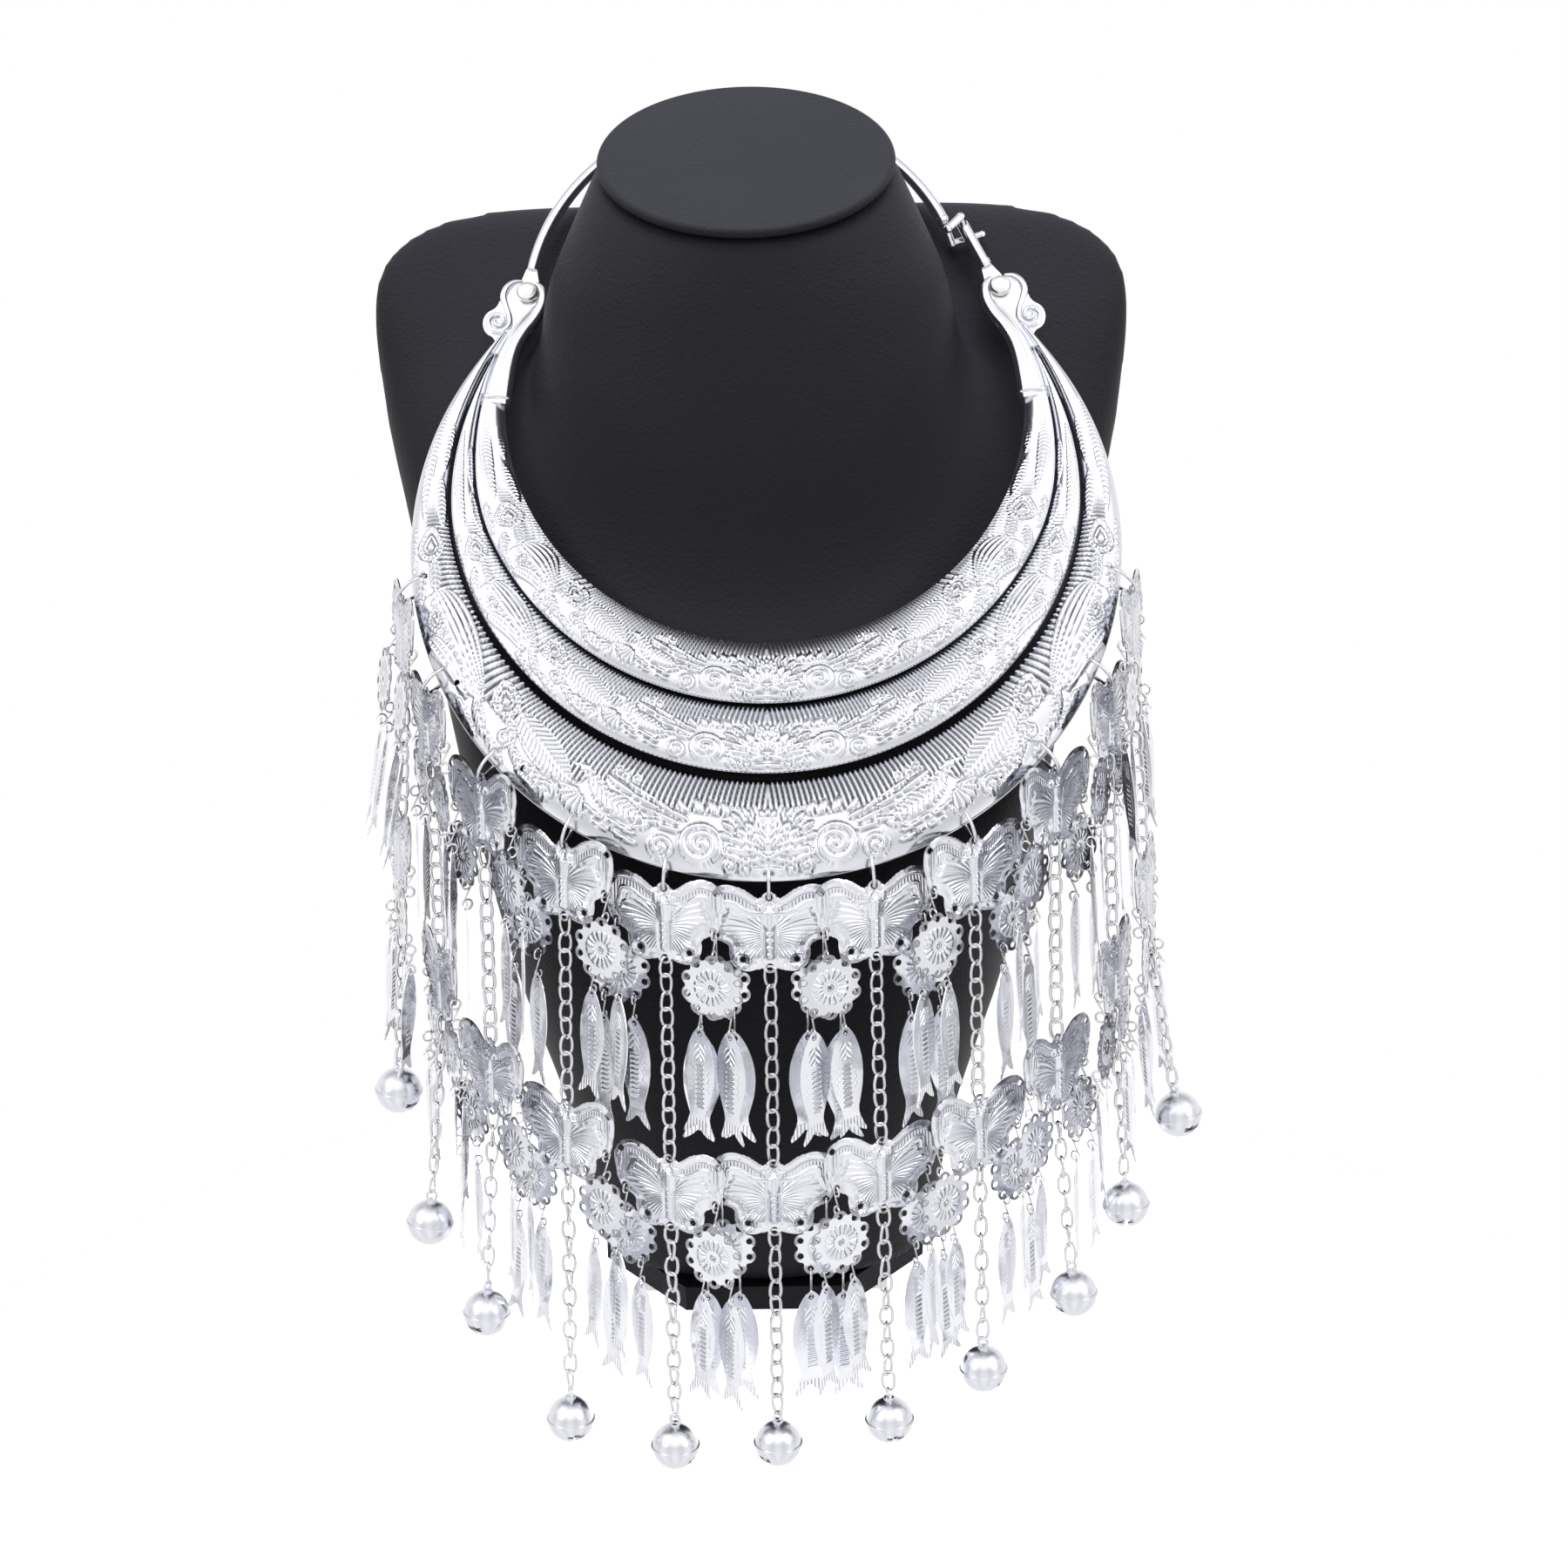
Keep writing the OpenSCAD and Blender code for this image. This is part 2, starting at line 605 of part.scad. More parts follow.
// Round bell with a seam, a slot below and a loop on top
module bell() {
    difference() {
        union() {
            sphere(r = bell_r, $fn = 48);
            translate([0, 0, -0.5]) cylinder(h = 1, r = bell_r + 0.4, $fn = 48);
            translate([0, 0, bell_r - 0.6]) cylinder(h = 1.2, r = 1.8, $fn = 24);
            translate([0, 0, bell_r + 1.9]) rotate([90, 0, 0]) rotate_extrude($fn = 24)
                translate([1.7, 0]) circle(r = 0.6, $fn = 12);
        }
        sphere(r = bell_r - 1, $fn = 48);
        translate([-bell_r - 1, -0.9, -bell_r - 1]) cube([2 * bell_r + 2, 1.8, bell_r - 1.6]);
        for (s = [-1, 1]) translate([s * 6.4, 3, -bell_r / 2 + 0.6]) rotate([90, 0, 0]) cylinder(h = 6, r = 1, $fn = 24);
    }
}

module bells() {
    color(silver) for (k = STRANDS) on_lower_end(k) translate([0, 0, bell_h(k)]) rotate([0, 0, 37 * k]) bell();
}

neck_bust();
neck_cap();
bust_foot();
crescent_inner();
crescent_middle();
crescent_outer();
end_plate_left();
end_plate_right();
rivet_left();
rivet_right();
back_rod();
clasp_rod();
jump_rings();
bells();
for (k = STRANDS) {
    upper_butterfly(k);
    lower_butterfly(k);
    chain(k);
    drops(k);
}
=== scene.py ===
import math

import bmesh
import bpy
import numpy as np
from mathutils import Matrix, Vector
from mathutils.kdtree import KDTree


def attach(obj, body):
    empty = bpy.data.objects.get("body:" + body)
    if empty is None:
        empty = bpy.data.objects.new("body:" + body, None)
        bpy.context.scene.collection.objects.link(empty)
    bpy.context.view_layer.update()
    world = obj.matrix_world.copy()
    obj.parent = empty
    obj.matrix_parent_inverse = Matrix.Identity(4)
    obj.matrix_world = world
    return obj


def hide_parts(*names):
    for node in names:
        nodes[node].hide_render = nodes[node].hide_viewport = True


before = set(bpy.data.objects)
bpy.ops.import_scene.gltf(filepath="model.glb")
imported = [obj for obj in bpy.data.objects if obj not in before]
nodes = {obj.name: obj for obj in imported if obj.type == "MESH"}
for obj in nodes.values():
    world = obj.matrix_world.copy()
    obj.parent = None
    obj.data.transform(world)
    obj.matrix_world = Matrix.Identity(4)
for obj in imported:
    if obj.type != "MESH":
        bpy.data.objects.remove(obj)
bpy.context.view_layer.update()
MM = 0.001
STRANDS = range(1, 12)
scene = bpy.context.scene


# Places and sizes in millimetres, the same as the solids'
COLLAR = Matrix.Translation((5, -110, 182)) @ Matrix.Rotation(math.radians(55), 4, "X")
LEAN = math.radians(35)
FAN_H = 152.0
# The rings' holes lie on an arc round the outer crescent's lowest point
HOLE_STEP = 16.7
HOLE_ARC_R = 114
HOLE_ARC_H = 119
HOLE_R = 1.25
RING_R = 6.2
# Butterfly plates: height of the tabs above and below the middle, and the holes
TAB_H = 12.0
TAB_HOLE_R = 1.3
SIDE_HOLE_R = 1.15
WING_HOLE = (17.4, -0.6)
TIP_HOLE = (18.6, 12.6)
LOBE_HOLE = (8.8, -9.2)
# Flower discs: circle of the rim's holes, lobes of the rim and depth below the wing's hole
FLOWER_R = 9.2
FLOWER_LOBES = 10
FLOWER_HOLE_R = 1.08
FLOWER_MIDDLE_R = 0.55
FLOWER_DROP = 19.0
FLOWER_FRONT = 1.7
# Fish plates: distance beside the flower's middle, the hole, and how far the tail swings aside
FISH_SIDE = 5.4
FISH_HOLE_R = 0.95
FISH_HOLE_DROP = 17.2
FISH_HOLE_H = 17.0
FISH_BEND = 1.6
# Bell, and the distance from link to link
BELL_R = 8.0
LINK_PITCH = 6.2
# Width of the flat map that carries the stamped patterns, and a distance past any edge
MAP_WIDTH = 100.0
FAR = 60.0

# Crescents: inner radius, its height, outer radius, its height, outer taper, inner taper,
# rim lift, dome height, end angle, relief height, rows, columns, strength of the painted shade on
# the ground between the teeth, and where the curl, wing, eye, shell tip, shell head, feather and long leaf
# are
CRESCENTS = {
    "inner": dict(ri=88, hi=170.5, ro=100.5, ho=160.5, to=4.9, ti=0, rim=3.4, dome=4.4, end=103,
                  rise=1.2, rows=48, cols=1280, painted_shade_strength=0.12, marks=(0, 0.735, 2.6, 3.21, 3.61, 4.63, 5.3, 9.2)),
    "middle": dict(ri=100.1, hi=160.4, ro=106.5, ho=142.3, to=3.8, ti=4.6, rim=3.4, dome=4.2, end=112,
                   rise=1.2, rows=48, cols=1440, painted_shade_strength=0.2, marks=(0, 0.8, 2.67, 3.42, 3.72, 5.4, 6.38, 12)),
    "outer": dict(ri=107, hi=141.6, ro=119, ho=119, to=0, ti=3.2, rim=0.6, dome=6, end=117,
                  rise=1.4, rows=56, cols=1700, painted_shade_strength=0.93, marks=(0, 0.6, 2.44, 3.08, 3.4, 5.18, 6.18, 11.8)),
}
MARKS = (0, 0.68, 2.66, 3.3, 3.62, 5.4, 6.4, 12)

# Strands: lean, upper turn, lower turn, lower butterfly depth, bell depth, ring swing, flower tilt, bell tilt
HANG = [
    (-3.6, 74, 74, 100, 189, 0, 6, 0),
    (-0.3, 68, 68, 114.5, 203, 0, 0, 6),
    (-0.7, 53, 54, 118, 205, 0, 0, 4),
    (-1.4, 37, 38, 115.5, 221, 0, 0, 0),
    (-0.4, 23, 28, 120, 215, 0, 0, 0),
    (0, 0, 0, 118.5, 210.5, 22, 0, 0),
    (1.3, 23, 27, 114.5, 206, 0, 0, 0),
    (1.3, 37, 39, 115.5, 203.5, 0, 0, 0),
    (1.2, 53, 54, 119, 200, 0, 0, 5),
    (2.3, 69, 69, 114.5, 200, 0, 0, 2),
    (4.1, 75, 75, 118, 202, 0, 0, 6),
]
# Right wings from the body's top round to its foot: x, z
WING = [
    (0, 12.2), (2.2, 12.1), (3.6, 11.5), (5, 12.3), (7.8, 14.5), (10.8, 15.9), (14, 16.4), (16.8, 16),
    (19.2, 14.6), (20.9, 12.2), (21.3, 9.4), (20.8, 5), (19.8, 0.6), (18.2, -2.2), (15.6, -2.6), (13, -4.2),
    (13.1, -7.6), (12.2, -10.8), (9.8, -12.8), (7, -13.3), (4.2, -12.7), (2.4, -12.2), (0, -12.2),
]
# Right half of a fish from its mouth to the notch of its tail: x, z
FISH = [
    (0, 19.5), (2.2, 17.8), (4.6, 14), (6.3, 9), (6.9, 4), (6.4, -1.5), (4.9, -6.5), (3.2, -11),
    (4, -14.5), (6.3, -19.5), (2.8, -17.8), (0, -14.8),
]


# Materials

def node_of(tree, kind, **inputs):
    made = tree.nodes.new(kind)
    for name, value in inputs.items():
        made.inputs[name.replace("_", " ")].default_value = value
    return made


class Value:
    """A number that a material works out, to be added, taken away, multiplied or divided."""

    def __init__(self, tree, socket):
        self.tree = tree
        self.socket = socket

    def __add__(self, other):
        return calc("ADD", self, other)

    def __sub__(self, other):
        return calc("SUBTRACT", self, other)

    def __rsub__(self, other):
        return calc("SUBTRACT", other, self)

    def __mul__(self, other):
        return calc("MULTIPLY", self, other)

    def __truediv__(self, other):
        return calc("DIVIDE", self, other)

    def to(self, socket):
        self.tree.links.new(self.socket, socket)


def calc(operation, *values):
    tree = next(value.tree for value in values if isinstance(value, Value))
    made = tree.nodes.new("ShaderNodeMath")
    made.operation = operation
    for socket, value in zip(made.inputs, values):
        if isinstance(value, Value):
            value.to(socket)
        else:
            socket.default_value = value
    return Value(tree, made.outputs[0])


def blank_material(name):
    material = bpy.data.materials.new(name)
    material.use_nodes = True
    tree = material.node_tree
    tree.nodes.clear()
    shader = tree.nodes.new("ShaderNodeBsdfPrincipled")
    output = tree.nodes.new("ShaderNodeOutputMaterial")
    tree.links.new(shader.outputs[0], output.inputs[0])
    return material, tree, shader


def on_piece(tree, kind, **inputs):
    """A texture that lies fixed on the piece."""
    made = node_of(tree, kind, **inputs)
    place = tree.nodes.new("ShaderNodeTexCoord")
    tree.links.new(place.outputs["Object"], made.inputs["Vector"])
    return made


def add_bump(tree, shader, height, strength, depth):
    bump = node_of(tree, "ShaderNodeBump", Strength=strength, Distance=depth)
    height.to(bump.inputs["Height"])
    tree.links.new(bump.outputs[0], shader.inputs["Normal"])


def silver(name, roughness=0.16, tint=(0.78, 0.785, 0.835), ripple=0.02, ripple_scale=180.0,
           pattern=None, painted_darkness=None):
    """Bright silver with a slight ripple, and a stamped pattern and painted shade in the base colour where
    they are given.
    """
    material, tree, shader = blank_material(name)
    shader.inputs["Base Color"].default_value = (*tint, 1)
    shader.inputs["Metallic"].default_value = 1.0
    shader.inputs["Roughness"].default_value = roughness
    noise = on_piece(tree, "ShaderNodeTexNoise", Scale=ripple_scale, Detail=0.0)
    height = Value(tree, noise.outputs[0]) * ripple
    # Painted shade: the base colour is darkened by the given amount
    if painted_darkness:
        shade = tree.nodes.new("ShaderNodeVectorMath")
        shade.operation = "SCALE"
        shade.inputs[0].default_value = tint
        (1.0 - painted_darkness(tree)).to(shade.inputs["Scale"])
        tree.links.new(shade.outputs[0], shader.inputs["Base Color"])
    if pattern:
        height = height + pattern(tree)
    add_bump(tree, shader, height, 1.0, 0.001)
    return material


def plate_axes(tree):
    """The plate's own flat coordinates in millimetres."""
    uv = tree.nodes.new("ShaderNodeUVMap")
    uv.uv_map = "flat"
    parts = tree.nodes.new("ShaderNodeSeparateXYZ")
    tree.links.new(uv.outputs[0], parts.inputs[0])
    return [(Value(tree, parts.outputs[k]) - 0.5) * MAP_WIDTH for k in (0, 1)]


def span(value, low, high, soft):
    """1 between low and high, falling to 0 over a soft edge inside them."""
    rise = (value - low) * (1.0 / soft)
    fall = (high - value) * (1.0 / soft)
    inside = calc("MINIMUM", calc("MINIMUM", rise, fall), 1.0)
    return calc("MAXIMUM", inside, 0.0)


def wave(value, rate):
    return calc("SINE", value * rate)


def reach_of(x, y):
    return calc("SQRT", x * x + y * y)


def mark_of(tree, name):
    """A number that is kept at each corner of the mesh."""
    mark = tree.nodes.new("ShaderNodeAttribute")
    mark.attribute_name = name
    return Value(tree, mark.outputs["Fac"])


# Painted shade: the crescents' ground is darkened in the base colour, standing in for shadow and dim
# reflections
def crescent_painted_shade(tree):
    return mark_of(tree, "painted_shade") * 0.9


def painted_edge_shade(tree):
    """Painted shade: a thin darker line along cut edges and round holes, standing in for dim reflections on
    the edges.
    """
    return span(mark_of(tree, "rim_distance"), -FAR, 0.22, 0.2) * 0.55


def wing_pattern(tree):
    """A beaded band inside the upper edge, ribs that fan out from the body, a ring round the lower hole."""
    x, y = plate_axes(tree)
    x = calc("ABSOLUTE", x)
    upper = span(y, 3.0, FAR, 5.0)
    band = mark_of(tree, "edge_distance") / (upper * 3.2 + 3.2)
    angle = calc("ARCTAN2", y + 1.5, x + 0.5) + x * 0.02
    ribs = wave(angle, 44.0) * span(band, 1.1, FAR, 0.15) * span(x, 2.6, FAR, 0.5)
    beads = wave(x, 5.5) * span(band, 0.44, 0.74, 0.06) * upper
    lines = (span(band, 0.32, 0.44, 0.05) + span(band, 0.76, 0.9, 0.06)) * upper
    ring = span(reach_of(x - LOBE_HOLE[0], y - LOBE_HOLE[1]), 2.1, 3.0, 0.35)
    return ribs * 0.13 + beads * 0.1 + lines * 0.16 + ring * 0.2


def flower_pattern(tree):
    """Sixteen narrow raised petals round a flat middle with a small boss."""
    x, y = plate_axes(tree)
    away = reach_of(x, y)
    petals = calc("ABSOLUTE", wave(calc("ARCTAN2", y, x), 8.0)) * span(away, 2.6, 6.5, 0.7)
    boss = span(away, 0.7, 1.3, 0.3)
    return petals * 0.34 + boss * 0.3


def fish_pattern(tree):
    """Bones down the middle, arrowheads behind the eye, a row of dots and rays in the tail."""
    x, y = plate_axes(tree)
    across = calc("ABSOLUTE", x)
    bones = wave(y, 3.7) * span(across, -FAR, 2.0, 0.5) * span(y, -9.5, 6.5, 0.6)
    arrows = wave(y + across, 2.6) * span(across, -FAR, 2.6, 0.4) * span(y, 7.5, 13.5, 0.5)
    dots = wave(y, 2.6) * span(across, 3.5, 4.3, 0.3) * span(y, -4, 6, 0.5)
    rays = wave(x, 4.6) * span(y, -FAR, -13, 0.8)
    return bones * 0.26 + arrows * 0.22 + dots * 0.05 + rays * 0.12


# The collar's ground and the plates' cut edges carry painted shade in their base colour
collar_metal = silver("collar_metal", roughness=0.19, ripple=0.01, ripple_scale=200, painted_darkness=crescent_painted_shade)
wing_metal = silver("wing_metal", roughness=0.18, pattern=wing_pattern, painted_darkness=painted_edge_shade)
flower_metal = silver("flower_metal", roughness=0.15, ripple=0.2, ripple_scale=60, pattern=flower_pattern,
                      painted_darkness=painted_edge_shade)
fish_metal = silver("fish_metal", roughness=0.2, tint=(0.93, 0.935, 0.98), ripple=0.2, ripple_scale=28,
                    pattern=fish_pattern, painted_darkness=painted_edge_shade)
wire_metal = silver("wire_metal", roughness=0.16, tint=(0.74, 0.74, 0.76), ripple=0.0)
rod_metal = silver("rod_metal", roughness=0.17, tint=(0.84, 0.845, 0.89), ripple=0.02, ripple_scale=70)
rivet_metal = silver("rivet_metal", roughness=0.3, tint=(0.82, 0.81, 0.785), ripple=0.04, ripple_scale=300)
bell_metal = silver("bell_metal", roughness=0.27, ripple=0.06, ripple_scale=90)


def leather():
    """Black grained leather, a little uneven in tone."""
    material, tree, shader = blank_material("bust_cover")
    grain = on_piece(tree, "ShaderNodeTexVoronoi", Scale=900.0)
    grain.feature = "SMOOTH_F1"
    broad = on_piece(tree, "ShaderNodeTexNoise", Scale=14.0, Detail=3.0)
    fine = on_piece(tree, "ShaderNodeTexNoise", Scale=1500.0, Detail=2.0)
    tone = tree.nodes.new("ShaderNodeMix")
    tone.data_type = "RGBA"
    tone.inputs["A"].default_value = (0.0082, 0.0082, 0.0108, 1)
    tone.inputs["B"].default_value = (0.012, 0.012, 0.0152, 1)
    tree.links.new(broad.outputs[0], tone.inputs["Factor"])
    tree.links.new(tone.outputs["Result"], shader.inputs["Base Color"])
    height = Value(tree, grain.outputs["Distance"]) + Value(tree, fine.outputs[0]) * 0.6
    add_bump(tree, shader, height, 0.5, 0.0004)
    shader.inputs["Roughness"].default_value = 0.52
    shader.inputs["Specular IOR Level"].default_value = 0.09
    return material


bust_cover = leather()


# Small mesh helpers

def finish_piece(name, mesh, material, slot, *replaced, body="root", sharp=0):
    piece = bpy.data.objects.new(name, mesh)
    bpy.context.scene.collection.objects.link(piece)
    mesh.materials.clear()
    mesh.materials.append(material)
    mesh.polygons.foreach_set("use_smooth", np.ones(len(mesh.polygons), bool))
    if sharp:
        mesh.set_sharp_from_angle(angle=math.radians(sharp))
    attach(piece, body)
    if replaced:
        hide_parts(*replaced)
    return piece


def mesh_from(bm, name):
    mesh = bpy.data.meshes.new(name)
    bm.to_mesh(mesh)
    bm.free()
    return mesh


def unit_grid(cols, rows):
    """A flat grid of cols by rows cells with its corners at 0 and 1, and its vertices' places."""
    bm = bmesh.new()
    bmesh.ops.create_grid(bm, x_segments=cols, y_segments=rows, size=0.5)
    bm.verts.ensure_lookup_table()
    places = np.array([v.co[:] for v in bm.verts]) + 0.5
    return bm, places[:, 0], places[:, 1]


def move_verts(bm, places):
    for vert, place in zip(bm.verts, places):
        vert.co = place


def wire(path, radius, closed=False):
    """A six-sided wire along points, as a bmesh in millimetres."""
    line = bpy.data.curves.new("wire", "CURVE")
    line.dimensions = "3D"
    line.bevel_depth = radius
    line.bevel_resolution = 1
    line.use_fill_caps = not closed
    spline = line.splines.new("POLY")
    spline.points.add(len(path) - 1)
    for point, place in zip(spline.points, path):
        point.co = (*place, 1)
    spline.use_cyclic_u = closed
    holder = bpy.data.objects.new("wire", line)
    mesh = bpy.data.meshes.new_from_object(holder)
    bm = bmesh.new()
    bm.from_mesh(mesh)
    bpy.data.objects.remove(holder)
    bpy.data.curves.remove(line)
    bpy.data.meshes.remove(mesh)
    bmesh.ops.remove_doubles(bm, verts=bm.verts, dist=0.001)
    bmesh.ops.recalc_face_normals(bm, faces=bm.faces)
    return bm


def eased(rows, count):
    """The rows filled in to a finer count on a smooth curve through each of them."""
    rows = np.array(rows, float)
    place = np.linspace(0, len(rows) - 1, count)
    low = np.minimum(place.astype(int), len(rows) - 2)
    t = (place - low)[:, None]
    before = rows[np.maximum(low - 1, 0)]
    one, two = rows[low], rows[low + 1]
    after = rows[np.minimum(low + 2, len(rows) - 1)]
    return 0.5 * (2 * one + (two - before) * t + (2 * before - 5 * one + 4 * two - after) * t ** 2
                  + (3 * one - before - 3 * two + after) * t ** 3)


def half_round(rows, count, sides=14):
    """A bar with a domed front along rows of x, z, half width, base height and top height."""
    rows = eased(rows, count)
    bm, u, v = unit_grid(count - 1, sides)
    step = np.rint(u * (count - 1)).astype(int)
    x, z, half, base, top = rows[step].T
    ahead = np.gradient(rows[:, :2], axis=0)[step]
    ahead /= np.linalg.norm(ahead, axis=1)[:, None]
    turn = 2 * math.pi * v
    out = half * np.cos(turn)
    dome = np.sign(np.sin(turn)) * np.abs(np.sin(turn)) ** 0.4
    rise = np.maximum(dome, -0.2) * (top - base) + base
    move_verts(bm, np.stack((x - ahead[:, 1] * out, -rise, z + ahead[:, 0] * out), 1))
    bmesh.ops.remove_doubles(bm, verts=bm.verts, dist=0.001)
    bmesh.ops.holes_fill(bm, edges=[e for e in bm.edges if e.is_boundary])
    bmesh.ops.recalc_face_normals(bm, faces=bm.faces)
    return bm


def join(target, source, matrix=None):
    """Copies one bmesh into another, moved by a matrix."""
    moved = source.copy()
    if matrix is not None:
        bmesh.ops.transform(moved, matrix=matrix, verts=moved.verts)
    mesh = bpy.data.meshes.new("moved")
    moved.to_mesh(mesh)
    moved.free()
    target.from_mesh(mesh)
    bpy.data.meshes.remove(mesh)


def to_metres(bm):
    bmesh.ops.scale(bm, vec=(MM, MM, MM), verts=bm.verts)
    return bm


def rounded(points, steps=3):
    """A closed outline with its corners eased by cutting them."""
    points = np.asarray(points, float)
    for _ in range(steps):
        after = np.roll(points, -1, 0)
        points = np.stack((0.75 * points + 0.25 * after, 0.25 * points + 0.75 * after), 1).reshape(-1, 2)
    return points


def circle_points(centre, radius, count):
    turns = [2 * math.pi * k / count for k in range(count)]
    return [(centre[0] + radius * math.cos(a), centre[1] + radius * math.sin(a)) for a in turns]


def flat_sheet(outline, holes):
    """A flat face with holes in the XZ plane, front towards -Y, cut into triangles."""
    bm = bmesh.new()
    for loop in [outline] + holes:
        verts = [bm.verts.new((p[0], 0, p[1])) for p in loop]
        for k in range(len(verts)):
            bm.edges.new((verts[k], verts[(k + 1) % len(verts)]))
    bmesh.ops.triangle_fill(bm, use_beauty=True, use_dissolve=False, edges=bm.edges[:], normal=(0, -1, 0))
    return bm


def cut_lines(bm, spacing, axes=("x", "z")):
    """Cuts the sheet along evenly spaced lines, so that it can be curved."""
    for axis in axes:
        k = 0 if axis == "x" else 2
        low = min(v.co[k] for v in bm.verts)
        high = max(v.co[k] for v in bm.verts)
        steps = max(2, int((high - low) / spacing))
        for i in range(1, steps):
            place = [0.0, 0.0, 0.0]
            place[k] = low + (high - low) * i / steps + 0.013
            normal = [0.0, 0.0, 0.0]
            normal[k] = 1.0
            everything = bm.verts[:] + bm.edges[:] + bm.faces[:]
            bmesh.ops.bisect_plane(bm, geom=everything, dist=0.01, plane_co=place, plane_no=normal)


def drop_diagonals(bm):
    """Leaves only the cut lines and the outline, without the slanting edges from the filling."""
    slanting = []
    for edge in bm.edges:
        a, b = (v.co for v in edge.verts)
        if not edge.is_boundary and abs(a.x - b.x) > 0.001 and abs(a.z - b.z) > 0.001:
            slanting.append(edge)
    bmesh.ops.dissolve_edges(bm, edges=slanting, use_verts=False)
    passed = [v for v in bm.verts if len(v.link_edges) == 2 and not v.is_boundary]
    bmesh.ops.dissolve_verts(bm, verts=passed)


def flat_map(bm):
    """Keeps the sheet's flat place as a map for the stamped pattern."""
    layer = bm.loops.layers.uv.new("flat")
    for face in bm.faces:
        for loop in face.loops:
            loop[layer].uv = (loop.vert.co.x / MAP_WIDTH + 0.5, loop.vert.co.z / MAP_WIDTH + 0.5)


def thicken(bm, thickness):
    bmesh.ops.recalc_face_normals(bm, faces=bm.faces)
    if sum(f.normal.y for f in bm.faces) > 0:
        bmesh.ops.reverse_faces(bm, faces=bm.faces)
    bmesh.ops.solidify(bm, geom=bm.faces[:], thickness=thickness)
    bmesh.ops.recalc_face_normals(bm, faces=bm.faces)


# Crescents

def smooth_step(value):
    value = np.clip(value, 0, 1)
    return value * value * (3 - 2 * value)


def edge_at(radius, height, angle):
    e = height - FAN_H
    return -e * np.cos(angle) + np.sqrt(radius ** 2 - (e * np.sin(angle)) ** 2)


def tapered(c, angle, taper):
    """How much an edge draws in towards the tips."""
    return c[taper] * smooth_step((np.abs(np.degrees(angle)) - 70) / 42)


def inner_edge(c, angle):
    return edge_at(c["ri"], c["hi"], angle) - tapered(c, angle, "ti")


def outer_edge(c, angle):
    return edge_at(c["ro"], c["ho"], angle) - tapered(c, angle, "to")


def band_width(c, angle):
    return outer_edge(c, angle) - inner_edge(c, angle)


def tip_share(angle):
    return 0.3 + 0.7 * np.cos(np.minimum(math.pi / 2, np.abs(angle) * 0.75)) ** 0.8


def base_height(c, angle, share):
    """Height of the domed sheet without its relief, at a share of the width from the inner edge."""
    tip = tip_share(angle)
    lifted = c["rim"] * share ** 1.5 * (0.4 + 0.6 * tip)
    dome = c["dome"] * tip * np.maximum(0, np.sin(math.pi * share)) ** 0.6
    return 1 + lifted + dome


def along_scale(c, angle):
    """Distance along the crescent counted in its own widths, so that motifs shrink with it."""
    steps = np.radians(np.linspace(0, c["end"] + 1, 1200))
    middle = (inner_edge(c, steps) + outer_edge(c, steps)) / 2
    rate = middle / np.maximum(band_width(c, steps), 1.5)
    widths = np.concatenate(([0], np.cumsum(0.5 * (rate[1:] + rate[:-1]) * np.diff(steps))))
    return np.interp(np.abs(angle), steps, widths)


def motif_place(c, angle, share):
    """The place in widths along the crescent and up from its lower edge, as in the motif table."""
    x = np.interp(along_scale(c, angle), c["marks"] + (20,), MARKS + (20,))
    return x, (1 - share) / MOTIF_TOP


def turned(x, y, cx, cy, angle):
    a = math.radians(angle)
    dx, dy = x - cx, y - cy
    return dx * math.cos(a) + dy * math.sin(a), -dx * math.sin(a) + dy * math.cos(a)


def bead(x, y, cx, cy, a, b, angle=0):
    """A round or oval boss of half length a and half width b."""
    u, v = turned(x, y, cx, cy, angle)
    return np.sqrt(np.clip(1 - (u / a) ** 2 - (v / b) ** 2, 0, 1))


def leaf(x, y, cx, cy, a, b, angle, ribs=0):
    """A pointed leaf, smooth, or a feather with a stem, barbs and a raised edge."""
    u, v = turned(x, y, cx, cy, angle)
    half = b * np.clip(1 - (u / a) ** 2, 0, 1) ** 0.7
    inside = (np.abs(u) < a) & (np.abs(v) < half)
    body = np.sqrt(np.clip(1 - (v / np.maximum(half, 1e-6)) ** 2, 0, 1))
    if ribs:
        barb = 0.5 + 0.5 * np.cos(2 * math.pi * ribs * (u + 0.7 * np.abs(v)) / (2 * a))
        edge = np.abs(v) / np.maximum(half, 1e-6)
        stem = np.abs(v) <= 0.1 * b
        body = np.where(edge > 0.86, 1.0, 0.35 + np.where(stem, 0.3, 0.5 * barb))
        body = body * np.sqrt(np.clip(1.06 - edge ** 4, 0, 1))
    return np.where(inside, body, 0)


def spiral(x, y, cx, cy, r, turns, hand=1):
    """A curl wound about its middle."""
    dx, dy = x - cx, y - cy
    away = np.hypot(dx, dy)
    phase = away / r * turns - hand * np.arctan2(dy, dx) / (2 * math.pi)
    groove = 0.5 + 0.5 * np.cos(2 * math.pi * phase)
    body = 0.15 + 0.75 * groove ** 0.5
    body = np.where(away < 0.12 * r, 1.0, body)
    return np.where(away < r, body * np.clip((r - away) / (0.08 * r), 0, 1) ** 0.5, 0)


def fan(x, y, cx, cy, r0, r1, a0, a1, count):
    """A fan of petals between two radii and two angles."""
    dx, dy = x - cx, y - cy
    away = np.hypot(dx, dy)
    angle = np.degrees(np.arctan2(dy, dx)) % 360
    share = ((angle - a0) % 360) / (a1 - a0)
    lobe = np.abs(np.sin(math.pi * share * count))
    reach = r1 * (0.86 + 0.14 * lobe)
    inside = (share <= 1) & (away > r0) & (away < reach)
    body = (0.2 + 0.8 * lobe ** 0.6) * np.clip((reach - away) / (0.1 * r1), 0, 1) ** 0.5
    return np.where(inside, body, 0)


